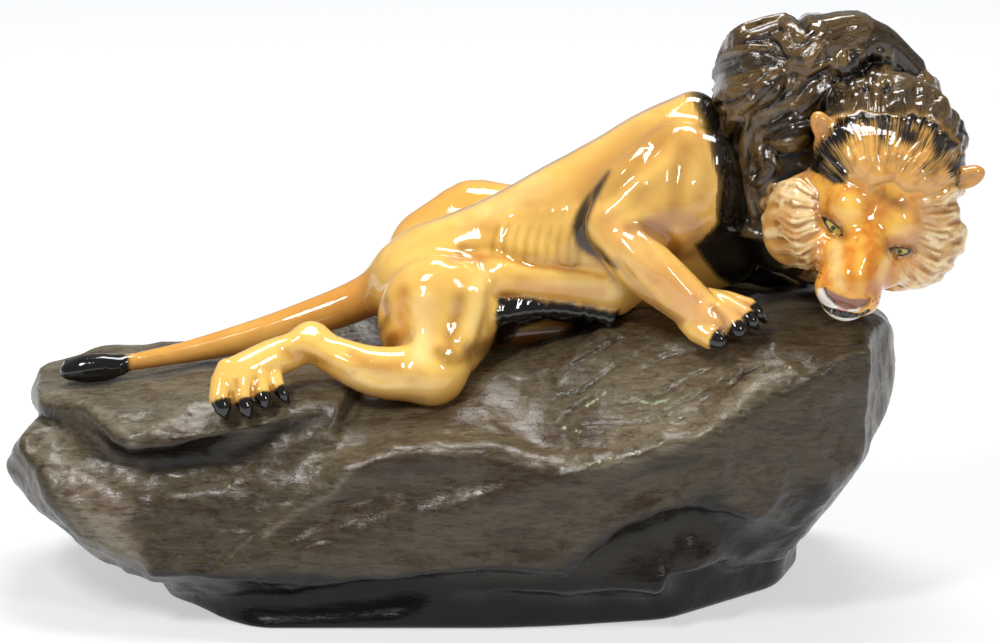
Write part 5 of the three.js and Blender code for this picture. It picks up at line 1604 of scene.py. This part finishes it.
def stone_glaze(roughness):
    """The rock's satin glaze: olive grey, with brown streaks, pale rubbed crests and brush marks."""
    n = Nodes(STONE)
    paint, streak = n.attribute("paint"), n.attribute("streak")
    olive, rose, brown = linear("7d6f5c"), linear("b89484"), linear("5c4434")
    slanted = n.stretched(n.place, (0.35, 1.0, 1.8), (0, 24, 0))
    brushed = n.noise(slanted, 230, 5, 0.7, 0.6)
    patches = n.noise(n.stretched(n.place, (0.6, 1.0, 1.2), (0, 30, 0)), 48, 5, 0.7, 0.8)
    colour = n.mix(n.band(brushed, 0.36, 0.66, 0.55, 0.2), paint.outputs["Color"], olive, "MULTIPLY")
    colour = n.mix(n.band(patches, 0.48, 0.62, 0.0, 0.6), colour, rose, "MULTIPLY")
    fine = n.noise(slanted, 420, 3, 0.7)
    colour = n.mix(n.band(fine, 0.54, 0.64, 0.0, 0.45), colour, brown, "MULTIPLY")
    pale = n.reckon("ADD", n.noise(n.place, 300, 4, 0.7), n.reckon("MULTIPLY", paint.outputs["Alpha"], 0.5))
    colour = n.mix(n.band(pale, 0.82, 0.95), colour, streak.outputs["Color"])
    n.link(colour, n.shader.inputs["Base Color"])
    n.link(n.band(brushed, 0.3, 0.7, roughness * 0.75, roughness * 1.35), n.shader.inputs["Roughness"])
    n.shader.inputs["IOR"].default_value = 1.5
    n.shader.inputs["Specular IOR Level"].default_value = 0.3
    rough = n.bump(brushed, 0.0006, 0.4)
    n.link(n.bump(n.noise(n.place, 420, 3, 0.6), 0.0004, 0.4, rough), n.shader.inputs["Normal"])
    return n.material


FLOOR_RADIUS = 25.0
# The floor's own light near the figurine and far from it, and the metres away at which it grows.
NEAR_GLOW, FAR_GLOW = 0.56, 0.77
GLOW_FROM, GLOW_TO = 0.35, 1.5


def paper(name, colour):
    """White paper that glows, and more so far away, so that it is bright past the lamps' reach."""
    n = Nodes(name)
    n.shader.inputs["Base Color"].default_value = (0.42, 0.42, 0.42, 1)
    n.shader.inputs["Roughness"].default_value = 0.5
    n.shader.inputs["Emission Color"].default_value = (*colour, 1)
    far = n.add("ShaderNodeVectorMath", operation="LENGTH")
    n.link(n.place, far.inputs[0])
    glow = n.band(far.outputs["Value"], GLOW_FROM, GLOW_TO, NEAR_GLOW, FAR_GLOW)
    n.link(glow, n.shader.inputs["Emission Strength"])
    return n.material


# The add-on.

def colour_setting(name, description, code):
    return bpy.props.FloatVectorProperty(
        name=name, description=description, subtype="COLOR", size=3, default=tuple(rgb(code)), min=0, max=1)


def roughness_setting(name, description, default):
    return bpy.props.FloatProperty(
        name=name, description=description, subtype="FACTOR", default=default, min=0, max=1)


def mesh_setting(name, description, default):
    return bpy.props.FloatProperty(
        name=name, description=description, unit="LENGTH", precision=4, default=default, min=MM, max=10 * MM)


class FigurineFinish(bpy.types.PropertyGroup):
    """The colours, glazes and mesh sizes of the figurine"""
    body_colour: colour_setting("Body colour", "Ochre of the lion's coat", "ecc064")
    mane_colour: colour_setting("Mane colour", "Brown that the head and the mane are painted over", "57452a")
    rock_colour: colour_setting("Rock colour", "Brown grey of the rock's sides", "544c3d")
    glaze_roughness: roughness_setting(
        "Glaze roughness", "How much the lion's glaze blurs what it reflects", 0.05)
    stone_roughness: roughness_setting(
        "Rock roughness", "How much the rock's satin glaze blurs what it reflects", 0.24)
    rock_mesh: mesh_setting("Rock mesh", "Size of the rock's faces before they are refined", 0.0023)
    body_mesh: mesh_setting("Body mesh", "Size of the body's faces before they are refined", 0.0016)
    head_mesh: mesh_setting("Head mesh", "Size of the head's faces before they are refined", 0.0013)


def in_millimetres(size):
    """A length property in millimetres, as the clay counts, without the property's rounding error."""
    return round(size / MM, 3)


def in_box(at, box):
    """Which points lie inside a box, given by its lowest and its highest corner."""
    low, high = box
    return ((at > low) & (at < high)).all(1)


# The rock's front and top, which get finer faces.
ROCK_FRONT = ((-300, -200, 20), (300, -20, 300))
# The broken stone: waves per millimetre of its ridges and its chips, and the ridges' dimension,
# lacunarity, octaves, offset and gain.
RIDGE_WAVES, CHIP_WAVES = 0.028, 0.06
RIDGE_SHAPE = (0.9, 2.1, 4, 1.0, 2.0)


def broken_stone(at, outward):
    """The rock's points moved out and in by ridges and chips, less and less towards its flat foot."""
    ridges = np.array([noise.ridged_multi_fractal(Vector(p) * RIDGE_WAVES, *RIDGE_SHAPE) for p in at])
    chips = np.array([noise.voronoi(Vector(p) * CHIP_WAVES)[0][0] for p in at])
    firm = rise(at[:, 2], 2, 12)
    return at + (outward.T * ((ridges - 1.2) * 1.1 + (chips - 0.4) * 1.4) * firm).T


class MakeRock(bpy.types.Operator):
    """Make the rock that the lion lies on"""
    bl_idname = "figurine.rock"
    bl_label = "Rock"

    def execute(self, context):
        finish = context.scene.figurine_finish
        clay = Clay()
        boulders(clay)
        mesh = rough_skin(clay, in_millimetres(finish.rock_mesh))
        settle(mesh, clay, 4)
        scratches(clay)
        refine(mesh, in_box(places(mesh), ROCK_FRONT))
        outward = settle(mesh, clay, 3)
        mesh.vertices.foreach_set("co", broken_stone(places(mesh), outward).ravel())
        mesh.update()
        paint = Paint(mesh, clay, outward, finish.rock_colour)
        paint_rock(paint)
        paint.keep()
        mesh.materials.append(stone_glaze(finish.stone_roughness))
        finish_piece(mesh, "rock")
        return {"FINISHED"}


def glaze_of(context):
    """The lion's glaze, which the body and the head share."""
    found = bpy.data.materials.get(GLAZE)
    return found or porcelain_glaze(context.scene.figurine_finish.glaze_roughness)


# The near paws, which get finer faces: the middle and the reach of each.
NEAR_PAWS = (((-108, -62, 101), 24), ((97, -61, 132), 22))


class MakeBody(bpy.types.Operator):
    """Make the lion's trunk, legs and tail"""
    bl_idname = "figurine.lion_body"
    bl_label = "Lion's body"

    def execute(self, context):
        finish = context.scene.figurine_finish
        clay = Clay()
        clay.name = "skin"
        for part in (trunk, belly, tail, far_hind_leg, near_hind_leg, far_foreleg, near_foreleg, ribs):
            part(clay)
        mesh = rough_skin(clay, in_millimetres(finish.body_mesh))
        settle(mesh, clay, 5)
        at = places(mesh)
        paws = np.zeros(len(at), bool)
        for middle, reach in NEAR_PAWS:
            paws |= np.linalg.norm(at - middle, axis=1) < reach
        refine(mesh, paws)
        outward = settle(mesh, clay, 3)
        paint = Paint(mesh, clay, outward, finish.body_colour)
        paint_body(paint)
        paint.keep()
        mesh.materials.append(glaze_of(context))
        finish_piece(mesh, "lion_body")
        return {"FINISHED"}


# The face, and the nose with the mouth, in the head's own axes; they and the eyes get finer faces.
FACE_BOX = ((-33, 4, -36), (33, 100, 44))
NOSE_BOX = ((-14, 30, -100), (14, 100, -13))
EYE_REACH = 7.5
HAIR_SEED = 7


class MakeHead(bpy.types.Operator):
    """Make the lion's head and mane"""
    bl_idname = "figurine.lion_head"
    bl_label = "Lion's head and mane"

    def execute(self, context):
        finish = context.scene.figurine_finish
        rng = np.random.default_rng(HAIR_SEED)
        clay = Clay()
        mane(clay)
        far_side_hair(clay)
        near_side_hair(clay, rng)
        rolls(clay, rng)
        skull(clay)
        forehead_hair(clay, rng)
        ruff(clay)
        ears(clay)
        mesh = rough_skin(clay, in_millimetres(finish.head_mesh))
        settle(mesh, clay, 4)
        clay.name = "face"
        muzzle(clay)
        eyes(clay)
        refine(mesh, in_box(head.inside(places(mesh)), FACE_BOX))
        settle(mesh, clay, 3)
        own = head.inside(places(mesh))
        finest = in_box(own, NOSE_BOX)
        for side in SIDES:
            pupil = head.inside(seen_at(clay, [PUPILS[side]]))
            finest |= np.linalg.norm(own - pupil, axis=1) < EYE_REACH
        refine(mesh, finest)
        outward = settle(mesh, clay, 4)
        paint = Paint(mesh, clay, outward, finish.mane_colour)
        paint_head(paint, rng)
        paint.keep()
        mesh.materials.append(glaze_of(context))
        finish_piece(mesh, "lion_head")
        return {"FINISHED"}


PAPER_COLOUR = (0.93, 0.94, 0.96)
# The lamps: name, place, width and height in metres, and power in watts. All point at one place.
LAMPS = (
    ("key", (-0.6, -0.8, 1.3), (0.24, 0.4), 14),
    ("fill", (0.8, -0.9, 1.0), (0.16, 0.4), 6),
    ("top", (0.1, 0.35, 1.6), (0.9, 0.5), 20),
)
LAMPS_AIM = Vector((0, 0, 0.12))
DAYLIGHT_COLOUR = (0.97, 0.98, 1, 1)
DAYLIGHT = 0.25


def lay_floor(context):
    """A wide round floor of white paper."""
    bm = bmesh.new()
    bmesh.ops.create_circle(bm, cap_ends=True, segments=64, radius=FLOOR_RADIUS)
    mesh = bpy.data.meshes.new("floor")
    bm.to_mesh(mesh)
    bm.free()
    mesh.materials.append(paper("studio_paper", PAPER_COLOUR))
    floor = bpy.data.objects.new("floor", mesh)
    context.collection.objects.link(floor)


def hang_lamp(context, name, place, size, power):
    """A soft rectangular lamp that points at the figurine."""
    light = bpy.data.lights.new(name, "AREA")
    light.shape = "RECTANGLE"
    light.size, light.size_y = size
    light.energy = power
    lamp = bpy.data.objects.new(name, light)
    lamp.location = place
    lamp.rotation_euler = (LAMPS_AIM - Vector(place)).to_track_quat("-Z", "Y").to_euler()
    context.collection.objects.link(lamp)


def place_camera(context):
    """The camera at the photograph's viewing angle."""
    lens = bpy.data.cameras.new("camera")
    lens.lens, lens.sensor_width = LENS, SENSOR
    camera = bpy.data.objects.new("camera", lens)
    camera.location = EYE * MM
    camera.rotation_euler = (math.radians(90 - VIEW_ELEVATION), 0, 0)
    context.collection.objects.link(camera)
    context.scene.camera = camera


class MakeStudio(bpy.types.Operator):
    """Lay a flat white floor, hang soft lamps and place the camera"""
    bl_idname = "figurine.studio"
    bl_label = "Studio"

    def execute(self, context):
        lay_floor(context)
        for lamp in LAMPS:
            hang_lamp(context, *lamp)
        daylight = bpy.data.worlds.new("studio")
        daylight.use_nodes = True
        background = daylight.node_tree.nodes["Background"]
        background.inputs["Color"].default_value = DAYLIGHT_COLOUR
        background.inputs["Strength"].default_value = DAYLIGHT
        context.scene.world = daylight
        place_camera(context)
        context.scene.view_settings.view_transform = "Standard"
        return {"FINISHED"}


class FigurinePanel(bpy.types.Panel):
    """Buttons that make the figurine and its studio"""
    bl_idname = "VIEW3D_PT_figurine"
    bl_label = "Porcelain lion"
    bl_space_type = "VIEW_3D"
    bl_region_type = "UI"
    bl_category = "Figurine"

    def draw(self, context):
        finish = context.scene.figurine_finish
        for name in FigurineFinish.__annotations__:
            self.layout.prop(finish, name)
        for maker in MAKERS:
            self.layout.operator(maker.bl_idname)


MAKERS = (MakeRock, MakeBody, MakeHead, MakeStudio)
CLASSES = (FigurineFinish, *MAKERS, FigurinePanel)


def register():
    for cls in CLASSES:
        bpy.utils.register_class(cls)
    bpy.types.Scene.figurine_finish = bpy.props.PointerProperty(type=FigurineFinish)


def unregister():
    del bpy.types.Scene.figurine_finish
    for cls in reversed(CLASSES):
        bpy.utils.unregister_class(cls)


def main():
    register()
    bpy.ops.figurine.rock()
    bpy.ops.figurine.lion_body()
    bpy.ops.figurine.lion_head()
    bpy.ops.figurine.studio()


if __name__ == "__main__":
    main()
